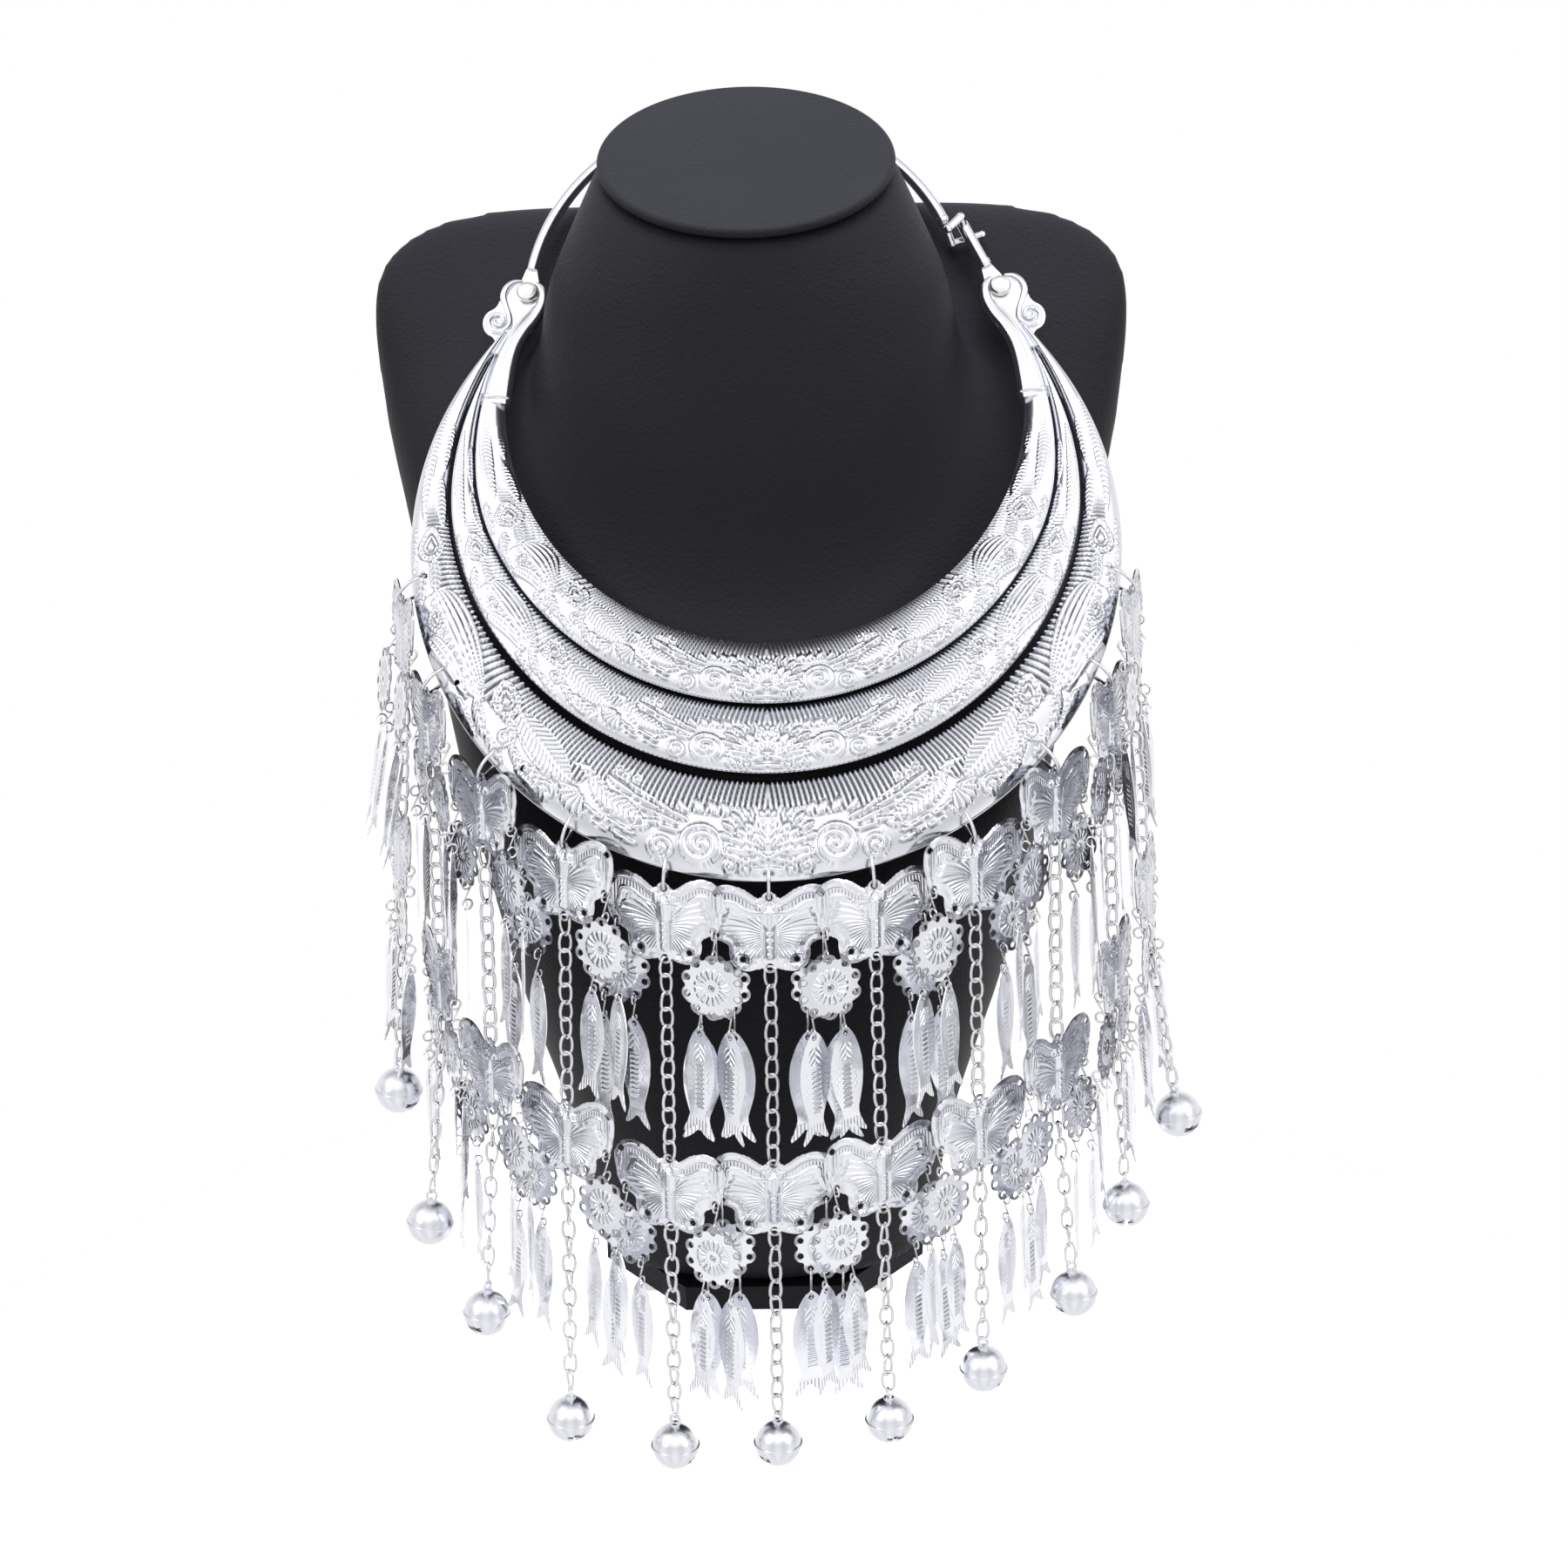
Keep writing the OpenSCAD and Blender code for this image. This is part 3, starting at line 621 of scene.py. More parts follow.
def drop_place(x, y, tip_x, tip_y, head_x, head_y, half):
    """Place in a bent drop: 0 to 1 from its tip to its round head, and -1 to 1 across it."""
    ax, ay = head_x - tip_x, head_y - tip_y
    length = math.hypot(ax, ay)
    u = ((x - tip_x) * ax + (y - tip_y) * ay) / length ** 2
    v = ((y - tip_y) * ax - (x - tip_x) * ay) / length
    inside = np.clip(u, 0.001, 0.999)
    v = v - 0.1 * np.sin(math.pi * inside)
    width = half * 1.93 * inside ** 0.75 * (1 - inside) ** 0.32
    return u, np.where((u > 0) & (u < 1), v / width, 9.0)


def shell(x, y, tip_x, tip_y, head_x, head_y, half, bands, plain):
    """A drop filled with curved bands on its inner side, a toothed row and a plain field."""
    u, across = drop_place(x, y, tip_x, tip_y, head_x, head_y, half)
    band = (across - plain) / (1 - plain)
    ridges = 0.2 + 0.8 * np.abs(np.sin(math.pi * bands * band)) ** 0.5
    teeth = 0.3 + 0.5 * np.abs(np.sin(math.pi * 15 * u)) ** 0.6
    body = np.where(band > 0, ridges, np.where(band > -0.2, teeth, 0.5))
    body = body * np.clip((1 - np.abs(across)) / 0.08, 0, 1) ** 0.5
    return np.where(np.abs(across) < 1, body, 0)


def eye_feather(x, y, cx, cy, r, angle):
    """A peacock's eye: a round spot, a ring open below and barbs inside a pointed drop."""
    u, v = turned(x, y, cx, cy, angle)
    turn = np.arctan2(v, u)
    share = np.hypot(u, v) / (r * (1 + 0.5 * np.clip(np.cos(turn), 0, 1) ** 8))
    spot = 0.2 + 0.8 * np.sqrt(np.clip(1 - (share / 0.3) ** 2, 0, 1))
    ring = np.where(np.cos(turn) > -0.8, 0.9, 0.2)
    barbs = 0.25 + 0.6 * np.abs(np.cos(8 * turn)) ** 0.6
    zones = [share < 0.3, share < 0.38, share < 0.54, share < 0.62, share < 0.88]
    body = np.select(zones, [spot, 0.1, ring, 0.1, barbs], 0.95)
    return np.where(share < 1, body * np.clip((1 - share) / 0.05, 0, 1) ** 0.5, 0)


# The motifs fill the crescents up to this share of their width, because the next crescent hides the rest
MOTIF_TOP = 0.88
# Kind, x, y, then the kind's own sizes: x along the crescent and y from its lower edge, in widths
MOTIFS = [
    # Lotus of petals in two rows with its leaves, then two small curls
    (fan, 0, 0.24, 0.1, 0.44, 0, 180, 11), (fan, 0, 0.3, 0.05, 0.29, 8, 172, 7),
    (bead, 0, 0.47, 0.06, 0.055), (fan, 0, 0.41, 0.06, 0.17, 0, 180, 5),
    (fan, 0, 0.6, 0.04, 0.16, 10, 170, 5), (bead, 0, 0.64, 0.05, 0.045),
    (leaf, 0.13, 0.74, 0.075, 0.034, 72), (leaf, 0.24, 0.71, 0.075, 0.036, 56),
    (leaf, 0.34, 0.64, 0.08, 0.038, 42), (leaf, 0.42, 0.54, 0.08, 0.036, 28),
    (leaf, 0.46, 0.43, 0.08, 0.034, 12), (leaf, 0.14, 0.19, 0.16, 0.03, -14),
    (leaf, 0.32, 0.2, 0.15, 0.035, 18), (leaf, 0.12, 0.27, 0.14, 0.03, 22),
    (spiral, 0.22, 0.09, 0.08, 1.5), (spiral, 0.37, 0.12, 0.07, 1.5, -1), (bead, 0.09, 0.09, 0.1, 0.035, -10),
    # Large and small curl beside the lotus, three berries and a spray of small leaves
    (spiral, 0.68, 0.31, 0.225, 2.4), (spiral, 1.06, 0.19, 0.135, 1.9), (bead, 0.47, 0.74, 0.1, 0.052, 62),
    (bead, 0.61, 0.74, 0.1, 0.055, 62), (bead, 0.76, 0.73, 0.1, 0.055, 62),
    (leaf, 0.92, 0.68, 0.1, 0.04, 40), (leaf, 0.94, 0.57, 0.1, 0.042, 20), (leaf, 1.06, 0.5, 0.13, 0.045, 14),
    (leaf, 1.1, 0.62, 0.12, 0.038, 25), (leaf, 1.02, 0.4, 0.12, 0.035, 0),
    (leaf, 1.2, 0.42, 0.12, 0.034, -15),
    (leaf, 1.26, 0.53, 0.12, 0.032, 5), (leaf, 1.29, 0.33, 0.1, 0.03, -25),
    # Water lines
    (leaf, 1.42, 0.15, 0.16, 0.02, 12), (leaf, 1.5, 0.25, 0.2, 0.02, 12), (leaf, 1.7, 0.17, 0.12, 0.018, 12),
    (leaf, 1.8, 0.27, 0.12, 0.02, 14), (bead, 1.92, 0.2, 0.06, 0.024, 15),
    # Bird: tail, scaled body, three curls above its back, crest, neck, head and wing
    (leaf, 1.36, 0.62, 0.2, 0.034, 10), (leaf, 1.38, 0.71, 0.18, 0.032, 14),
    (leaf, 1.62, 0.46, 0.34, 0.12, 10, 10),
    (spiral, 1.5, 0.84, 0.06, 1.4), (spiral, 1.62, 0.87, 0.06, 1.4), (spiral, 1.73, 0.86, 0.055, 1.4),
    (leaf, 1.64, 0.69, 0.2, 0.05, 15), (leaf, 1.9, 0.6, 0.22, 0.08, 25, 6),
    (bead, 2.08, 0.69, 0.08, 0.065, 20),
    (leaf, 2.19, 0.67, 0.07, 0.025, -10), (fan, 1.98, 0.44, 0.06, 0.32, 250, 350, 6),
    (spiral, 2.38, 0.18, 0.11, 1.5), (leaf, 2.6, 0.13, 0.2, 0.03, 10),
    # Scaled wing, leaves below it and a curl
    (leaf, 2.66, 0.59, 0.52, 0.23, 17, 15), (leaf, 2.5, 0.2, 0.26, 0.07, 20, 6),
    (leaf, 2.84, 0.26, 0.22, 0.06, 28, 5),
    (spiral, 3.08, 0.33, 0.1, 1.5), (leaf, 3.14, 0.14, 0.22, 0.05, 15, 4),
    # Peacock feather beside the wing and leaves along the edge
    (leaf, 3.1, 0.5, 0.2, 0.07, 42, 4), (eye_feather, 3.36, 0.7, 0.21, 40),
    (leaf, 3.5, 0.26, 0.24, 0.08, 32, 5),
    (leaf, 3.62, 0.1, 0.28, 0.05, 10, 5),
    # Two shells of curved bands, one under the other, with an eye in the head of the upper one
    (shell, 3.58, 0.44, 5.45, 0.5, 0.46, 5, -0.2), (eye_feather, 4.98, 0.36, 0.18, 170),
    (shell, 3.75, 0.26, 4.8, 0.14, 0.15, 3, -0.95), (leaf, 5.1, 0.09, 0.25, 0.06, 8, 4),
    # Feather with its eye above the shells, then long leaves to the tip
    (leaf, 5.62, 0.2, 0.34, 0.12, 20, 6), (leaf, 5.78, 0.58, 0.36, 0.13, 10, 7),
    (eye_feather, 6.4, 0.58, 0.33, 8), (leaf, 6.5, 0.12, 0.5, 0.08, 4, 8),
    (leaf, 7.6, 0.9, 0.8, 0.14, -3, 12), (leaf, 9.6, 0.88, 1.0, 0.14, -2, 12),
    (leaf, 9.3, 0.34, 2.2, 0.2, -2, 26),
]


def teeth(x, y):
    """Where the row of teeth under the upper rim begins, and its tooth or gap at a place."""
    low = 0.62 + 0.12 * (np.abs(x) < 0.45) + 0.16 * smooth_step((x - 1.38) / 0.08) * (x < 1.82)
    low = low - 0.16 * smooth_step((x - 1.95) / 0.15)
    tooth = np.abs(np.sin(math.pi * (x + 0.14 * (y - 0.8) * np.abs(y)) / np.where(x < 3.3, 0.0625, 0.11)))
    return low, np.clip((tooth - 0.45) / 0.55, 0, 1) ** 0.6


def painted_shade(c, angle, share, raised):
    """Painted shade on the ground: darker in the gaps between the teeth and beside raised parts, standing in
    for shadow and dim reflections.
    """
    x, y = motif_place(c, angle, share)
    low, tooth = teeth(x, y)
    ground = np.clip(1 - raised / (0.35 * c["rise"]), 0, 1)
    # Painted shade in the gaps between the teeth, strongest on the outer crescent
    gap = c["painted_shade_strength"] * ground * smooth_step((y - low + 0.02) / 0.06) * smooth_step((1.135 - y) / 0.03)
    gap *= np.clip((7.6 - x) / 0.8, 0, 1)
    # Half a millimetre along and across, as an angle and as a share of the width
    step_angle = 0.5 / 110
    step_share = 0.5 / np.maximum(band_width(c, angle), 5)
    near = sum(relief(c, angle + i * step_angle, np.clip(share + j * step_share, 0, 1))
               for i, j in ((1, 0), (-1, 0), (0, 1), (0, -1)))
    # Painted shade beside raised parts, where the ground lies below its neighbours
    hollow = np.clip((near / 4 - raised - 0.06) / 0.24, 0, 1)
    return np.maximum(gap, 0.62 * hollow)


def motif_reach(kind, sizes):
    """A distance beyond which a motif raises nothing."""
    if kind is fan:
        return 1.1 * sizes[1]
    if kind in (bead, leaf):
        return 1.6 * max(sizes[:2])
    return 1.6 * sizes[0]


def relief(c, angle, share):
    """Height of the stamped relief in millimetres."""
    x, y = motif_place(c, angle, share)
    width = band_width(c, angle)
    low, tooth = teeth(x, y)
    height = 0.9 * tooth * smooth_step((y - low) / 0.05) * np.clip((7.4 - x) / 0.8, 0, 1)
    for kind, cx, cy, *sizes in MOTIFS:
        if kind is shell:
            near = (x > cx) & (x < sizes[0])
        else:
            reach = motif_reach(kind, sizes)
            near = (np.abs(x - cx) < reach) & (np.abs(y - cy) < reach)
        if near.any():
            raised = kind(x[near], y[near], cx, cy, *sizes)
            height[near] = np.where(raised > 0, raised, height[near])
    # The relief ends inside both rims and before the tips, and a thin rolled line follows the upper rim
    up = 1 - share
    plain = smooth_step((up - 0.035) / 0.03) * smooth_step((0.985 - up) / 0.015)
    plain *= smooth_step((c["end"] - np.abs(np.degrees(angle)) - 6) / 9)
    rise = c["rise"] * np.clip(width / 22, 0.35, 1)
    rolled = 0.3 * np.clip(1 - ((up - 0.988) * width / 0.7) ** 2, 0, 1) ** 0.5
    return height * plain * rise + rolled * np.clip(width / 20, 0.3, 1)


def collar_places(angle, across, lift):
    """Places in metres of points at an angle, a distance from the crescents' middle and a height."""
    local = np.stack((across * np.sin(angle), FAN_H - across * np.cos(angle), lift), 1)
    turn = np.array(COLLAR.to_3x3())
    return (local @ turn.T + np.array(COLLAR.translation)) * MM


def hole_place(k):
    angle = math.radians(HOLE_STEP * (k - 6))
    return HOLE_ARC_R * math.sin(angle), HOLE_ARC_H - HOLE_ARC_R * math.cos(angle)


# Edge of the sheet, rolled over: how far in and how far down its first four rows of points lie,
# and how far down the first columns at the tips lie
RIM_INSET = np.array((1.1, 0.12, 0.0, 0.18))
RIM_DROP = np.array((0.99, 0.9, 0.45, 0.06))
TIP_DROP = np.array((0.95, 0.4, 0.0))


def crescent_front(c):
    """The stamped face with both edges rolled over, and each point's distance from the middle."""
    cols, rows = c["cols"], c["rows"]
    bm, u, v = unit_grid(cols, rows)
    angle = math.radians(c["end"]) * (2 * u - 1)
    width = band_width(c, angle)
    step = np.rint(v * rows)
    row = np.minimum(step, rows - step).astype(int)
    rolled = np.minimum(row, 3)
    inner_part = 0.3 + (width - 0.6) * (step - 3.5) / (rows - 7)
    inset = RIM_INSET[rolled]
    across = np.where(step <= 3, inset, np.where(rows - step <= 3, width - inset, inner_part))
    share = np.clip(across / width, 0, 1)
    raised = relief(c, angle, share)
    # Painted shade, kept at each vertex for the collar's base colour
    layer = bm.verts.layers.float.new("painted_shade")
    for vert, painted_shade_strength in zip(bm.verts, painted_shade(c, angle, share, raised)):
        vert[layer] = float(painted_shade_strength)
    column = np.rint(u * cols)
    column = np.minimum(column, cols - column).astype(int)
    lift = base_height(c, angle, share) - np.where(row <= 3, RIM_DROP[rolled], 0.0)
    lift = lift + raised * (row >= 2) - TIP_DROP[np.minimum(column, 2)] * (row >= 3)
    away = inner_edge(c, angle) + across
    move_verts(bm, collar_places(angle, away, lift))
    return bm, angle, away


def crescent_back(c):
    """A plain thin sheet that closes the crescent behind."""
    bm, u, v = unit_grid(220, 12)
    # No painted shade on the back
    bm.verts.layers.float.new("painted_shade")
    angle = math.radians(c["end"]) * (2 * u - 1)
    width = band_width(c, angle)
    across = 0.9 + (width - 1.8) * v
    lift = base_height(c, angle, np.clip(across / width, 0, 1)) - 0.97
    move_verts(bm, collar_places(angle, inner_edge(c, angle) + across, lift))
    bmesh.ops.reverse_faces(bm, faces=bm.faces)
    return bm


def open_ring_holes(bm, angle, away):
    """Small openings along the lower rim. The vertices are numbered anew after each one, so all
    but the first lie beside the place of their ring."""
    flat_x = away * np.sin(angle)
    flat_y = FAN_H - away * np.cos(angle)
    for k in STRANDS:
        hx, hy = hole_place(k)
        inside = set(np.nonzero(np.hypot(flat_x - hx, flat_y - hy) < HOLE_R)[0].tolist())
        bm.verts.ensure_lookup_table()
        touched = {f for i in inside for f in bm.verts[i].link_faces}
        gone = [f for f in touched if all(w.index in inside for w in f.verts)]
        bmesh.ops.delete(bm, geom=gone, context="FACES_KEEP_BOUNDARY")


def make_crescent(name):
    c = CRESCENTS[name]
    bm, angle, away = crescent_front(c)
    if name == "outer":
        open_ring_holes(bm, angle, away)
    back = crescent_back(c)
    join(bm, back)
    back.free()
    loose = [v for v in bm.verts if not v.link_faces]
    bmesh.ops.delete(bm, geom=loose, context="VERTS")
    mesh = mesh_from(bm, name)
    finish_piece(name + "_crescent_relief", mesh, collar_metal, "collar_metal", "crescent_" + name)


for crescent_name in CRESCENTS:
    make_crescent(crescent_name)


# End plates

RIVET_PLACE = (81.4, 212, 0)
PLATE_THICKNESS = 1.6
PLATE_HOLE_R = 1.62
# Outline of a plate round its rivet at 0, 0: x, z
PLATE_OUTLINE = [
    (-5.9, -6.5), (-6.4, -2), (-4.9, 2.2), (-1.4, 4.3), (3.4, 4.4), (7.4, 2), (9.3, -2), (10.6, -5.3),
    (14.2, -7.2), (15.5, -11), (14.3, -15), (11, -16.7), (10.6, -21), (11, -26), (12.4, -36), (13, -40.7),
    (6.2, -42.1), (4.6, -28), (2.3, -20), (-2.6, -13),
]
# Bars on the plate: x, z, half width, base height and top height
STEM = [
    (9.7, -42.5, 4.9, 0, 4.8), (8.9, -36, 4.7, 0, 4.7), (7.2, -27, 4.1, 0, 4.4), (4.6, -19.5, 3.3, 0, 4.0),
    (1.2, -14, 2.7, 0, 3.7), (-2.2, -9.6, 2.3, 0.4, 3.4), (-4.6, -5.2, 2.0, 0.6, 3.2),
    (-5.2, -1.4, 1.7, 0.8, 3.1), (-4.4, 2.0, 1.3, 0.8, 2.8), (-2.8, 3.9, 0.7, 0.8, 2.0),
]
GROOVE = [
    (11.6, -38, 0.5, 3.0, 4.3), (10.2, -30, 0.55, 3.0, 4.2), (7.8, -22, 0.6, 2.6, 3.9),
    (4.8, -15.5, 0.65, 2.2, 3.5), (1.6, -10.4, 0.65, 1.4, 3.0), (-1.4, -6.6, 0.55, 1.2, 2.5),
    (-2.6, -4.9, 0.4, 1.2, 1.9),
]
CURL_START = [
    (1.6, 4.7, 0.5, 0.8, 2.0), (4.6, 4.1, 1.0, 0.8, 3.0), (7.1, 2.0, 1.3, 0.8, 3.5),
    (8.2, -1.4, 1.4, 0.8, 3.6), (7.4, -5.0, 1.3, 0.8, 3.4),
]
CURL_CENTRE = (10.0, -10.9)


def curl_rows():
    """The curl comes down beside the rivet and winds into its centre."""
    rows = list(CURL_START)
    for share in np.linspace(0, 1, 15):
        angle = math.radians(150 + 620 * share)
        radius = 4.4 - 3.7 * share
        x = CURL_CENTRE[0] + radius * math.cos(angle)
        z = CURL_CENTRE[1] + radius * math.sin(angle)
        rows.append((x, z, 1.15 - 0.55 * share, 0.8, 3.3 + 0.2 * share))
    return rows


def make_end_plate(name, side):
    """A flat plate with its domed stem, groove and curl, and a wire band where the crescents go in."""
    bm = flat_sheet(rounded(PLATE_OUTLINE, 2), [circle_points((0, 0), PLATE_HOLE_R, 20)])
    thicken(bm, -PLATE_THICKNESS)
    turns = np.radians(np.linspace(5, 175, 13))
    band = wire([(9.6 + 5.0 * math.cos(a), -4.75 * math.sin(a) ** 0.4, -40.6) for a in turns], 0.5)
    for bar in (half_round(STEM, 60), half_round(GROOVE, 40), half_round(curl_rows(), 120), band):
        join(bm, bar)
        bar.free()
    seat = Matrix.Translation(RIVET_PLACE) @ Matrix.Rotation(math.radians(-90), 4, "X")
    place = COLLAR @ Matrix.Scale(side, 4, (1, 0, 0)) @ seat
    bmesh.ops.transform(bm, matrix=place, verts=bm.verts)
    bmesh.ops.recalc_face_normals(bm, faces=bm.faces)
    to_metres(bm)
    finish_piece(name + "_scroll", mesh_from(bm, name), rod_metal, "collar_metal", name, sharp=50)


make_end_plate("end_plate_right", 1)
make_end_plate("end_plate_left", -1)


# Strands

def line_distance(x, z, line):
    """Shortest distance from each place to a line of points."""
    best = np.full_like(x, 1e9)
    for (ax, az), (bx, bz) in zip(line[:-1], line[1:]):
        length = max((bx - ax) ** 2 + (bz - az) ** 2, 1e-9)
        t = np.clip(((x - ax) * (bx - ax) + (z - az) * (bz - az)) / length, 0, 1)
        best = np.minimum(best, np.hypot(x - ax - t * (bx - ax), z - az - t * (bz - az)))
    return best


def hang(k):
    return HANG[k - 1]


def side_of(k):
    """-1 left of the middle strand, 1 right of it and 0 for the middle one."""
    return (k > 6) - (k < 6)


def hole_height(k):
    """Height of the middle of the crescent's sheet where a ring goes through."""
    x, y = hole_place(k)
    c = CRESCENTS["outer"]
    angle = np.array(math.atan2(x, FAN_H - y))
    share = (math.hypot(x, FAN_H - y) - inner_edge(c, angle)) / band_width(c, angle)
    return float(base_height(c, angle, share)) - 0.5


def ring_end(k):
    """The lowest place inside a ring, where its strand hangs."""
    x, y = hole_place(k)
    outward = 1.1 * side_of(k) * math.sin(math.radians(HOLE_STEP * (k - 6))) ** 2
    swing = math.radians(hang(k)[5])
    u = Vector((outward, math.sin(swing), -math.cos(swing))).normalized()
    facing = Vector((0, -math.cos(LEAN), math.sin(LEAN)))
    v = (facing - facing.dot(u) * u).normalized()
    middle = COLLAR @ Vector((x, y, hole_height(k))) + RING_R * u
    down = -(u * u.z + v * v.z).normalized()
    return middle + RING_R * down


def turn_z(angle):
    return Matrix.Rotation(math.radians(angle), 4, "Z")


def turn_x(angle):
    return Matrix.Rotation(math.radians(angle), 4, "X")


def along(z):
    return Matrix.Translation((0, 0, z))


def strand(k):
    return Matrix.Translation(ring_end(k)) @ Matrix.Rotation(math.radians(-hang(k)[0]), 4, "Y")


def plate_turn(k, lower):
    return side_of(k) * hang(k)[2 if lower else 1]


def lower_h(k):
    return 2 * RING_R - hang(k)[3]


def bell_h(k):
    return 2 * RING_R - hang(k)[4]


def lower_end(k):
    """The strand below the lower butterfly, tilted about the tab that the bell's chain hangs from."""
    tab = lower_h(k) - TAB_H
    return strand(k) @ along(tab) @ turn_z(plate_turn(k, True)) @ turn_x(-hang(k)[7]) @ along(-tab)


def butterfly_outline():
    """Both wings with a round tab above for the ring and one below for the chain."""
    right = WING[1:-1]
    both = [(0, WING[0][1])] + right + [(0, WING[-1][1])] + [(-x, z) for x, z in right[::-1]]
    points = [(x, z) for x, z in rounded(both, 2) if abs(x) > 2.6 or abs(z) < 10.5]

    def starts_right_wing(i):
        return min(points[i][1], points[i - 1][1]) > 9 and points[i][0] > 0 >= points[i - 1][0]

    start = next(i for i in range(len(points)) if starts_right_wing(i))
    points = points[start:] + points[:start]
    split = next(i for i in range(len(points)) if points[i][0] < 0)
    middle = TAB_H - 0.4
    top = [(2.5 * math.sin(a), middle + 2.5 * math.cos(a)) for a in np.radians(np.linspace(-88, 88, 13))]
    low = [(2.5 * math.sin(a), 2.5 * math.cos(a) - middle) for a in np.radians(np.linspace(105, 255, 13))]
    return [(float(a), float(b)) for a, b in points[:split] + low + points[split:] + top]


def wing_height(ax, z, away):
    """Raised lines along the wing's edge, a raised inner field, and a ring round the lower hole."""
    holes_away = np.min([np.hypot(ax - hx, z - hz) for hx, hz in SIDE_HOLES], axis=0)
    clear = np.clip((holes_away - 1.4) / 0.8, 0, 1)
    border = 3.2 + 3.2 * np.clip((z - 3) / 5, 0, 1)
    band = away / border
    panel = 0.75 * smooth_step((band - 0.95) / 0.5)
    outer_line = 0.65 * np.exp(-((away - 1.15) / 0.5) ** 2)
    inner_line = 0.7 * np.exp(-(((band - 0.95) * border) / 0.5) ** 2)
    lobe = 0.5 * np.exp(-((np.hypot(ax - LOBE_HOLE[0], z - LOBE_HOLE[1]) - 2.6) / 0.6) ** 2)
    split = -0.4 * np.exp(-((z + 4.4 + 0.02 * ax) / 0.8) ** 2) * smooth_step((ax - 2) / 2)
    return (panel + outer_line + inner_line + lobe + split) * clear * smooth_step((ax - 1.6) / 1.2)


def body_height(ax, z):
    """A body of five segments under a domed chest, and two round eyes."""
    half = 1.5 + 0.7 * np.exp(-((z - 4.5) / 3) ** 2) - 0.3 * np.clip((-4 - z) / 6, 0, 1)
    body = 1.8 * np.sqrt(np.clip(1 - (ax / half) ** 2, 0, 1))
    body *= smooth_step((z + 9.6) / 1.2) * smooth_step((8.6 - z) / 1.2)
    body *= np.where(z < 2, 0.78 + 0.22 * np.cos((z - 2) * 2.5), 1.0)
    eyes = 1.3 * np.sqrt(np.clip(1 - ((ax - 2.3) / 1.6) ** 2 - ((z - 8.4) / 1.6) ** 2, 0, 1))
    return np.maximum(body, eyes)


SIDE_HOLES = (WING_HOLE, TIP_HOLE, LOBE_HOLE)


def butterfly_template():
    """A stamped sheet half a millimetre thick, with its holes and tabs."""
    outline = butterfly_outline()
    tabs = [(0, s * TAB_H, TAB_HOLE_R) for s in (-1, 1)]
    sides = [(s * hx, hz, SIDE_HOLE_R) for s in (-1, 1) for hx, hz in SIDE_HOLES]
    bm = flat_sheet(outline, [circle_points((x, z), radius, 12) for x, z, radius in tabs + sides])
    cut_lines(bm, 0.8)
    drop_diagonals(bm)
    flat_map(bm)
    x = np.array([v.co.x for v in bm.verts])
    z = np.array([v.co.z for v in bm.verts])
    away = line_distance(x, z, outline + outline[:1])
    height = np.maximum(wing_height(np.abs(x), z, away), body_height(np.abs(x), z)) * smooth_step(away / 0.5)
    from_tab = np.hypot(x, np.abs(z) - TAB_H)
    height = np.where(from_tab < 2.4, 0.2 * (from_tab > 1.6), height)
    for vert, h in zip(bm.verts, height):
        vert.co.y = -h
    thicken(bm, -0.5)
    mark_distance(bm, "edge_distance", outline)
    mark_distance(bm, "rim_distance", outline, sides + tabs)
    return bm


def mark_distance(bm, name, outline, holes=()):
    """Each corner's distance from the outline and the edges of holes, in millimetres."""
    layer = bm.verts.layers.float.new(name)
    x = np.array([v.co.x for v in bm.verts])
    z = np.array([v.co.z for v in bm.verts])
    distance = line_distance(x, z, outline + outline[:1])
    for hx, hz, radius in holes:
        distance = np.minimum(distance, np.hypot(x - hx, z - hz) - radius)
    for vert, away in zip(bm.verts, distance):
        vert[layer] = float(away)


def flower_template():
    """A pierced disc with ten round lobes, pressed out a little in its middle."""
    outline = []
    places = []
    for k in range(FLOWER_LOBES):
        middle = math.radians(90 + 360 / FLOWER_LOBES * k)
        places.append((FLOWER_R * math.cos(middle), FLOWER_R * math.sin(middle)))
        for step in np.linspace(-74, 74, 7):
            a = middle + math.radians(step)
            x = 8.6 * math.cos(middle) + 2.7 * math.cos(a)
            z = 8.6 * math.sin(middle) + 2.7 * math.sin(a)
            outline.append((x, z))
    holes = [circle_points(place, FLOWER_HOLE_R, 10) for place in places]
    bm = flat_sheet(outline, holes + [circle_points((0, 0), FLOWER_MIDDLE_R, 8)])
    cut_lines(bm, 1.6)
    drop_diagonals(bm)
    flat_map(bm)
    for vert in bm.verts:
        out = math.hypot(vert.co.x, vert.co.z)
        vert.co.y = -0.22 * math.exp(-((out - 4.3) / 1.9) ** 2) - 0.4 * math.exp(-(out / 1.1) ** 2)
    thicken(bm, -0.35)
    rims = [(x, z, FLOWER_HOLE_R) for x, z in places] + [(0, 0, FLOWER_MIDDLE_R)]
    mark_distance(bm, "rim_distance", outline, rims)
    return bm


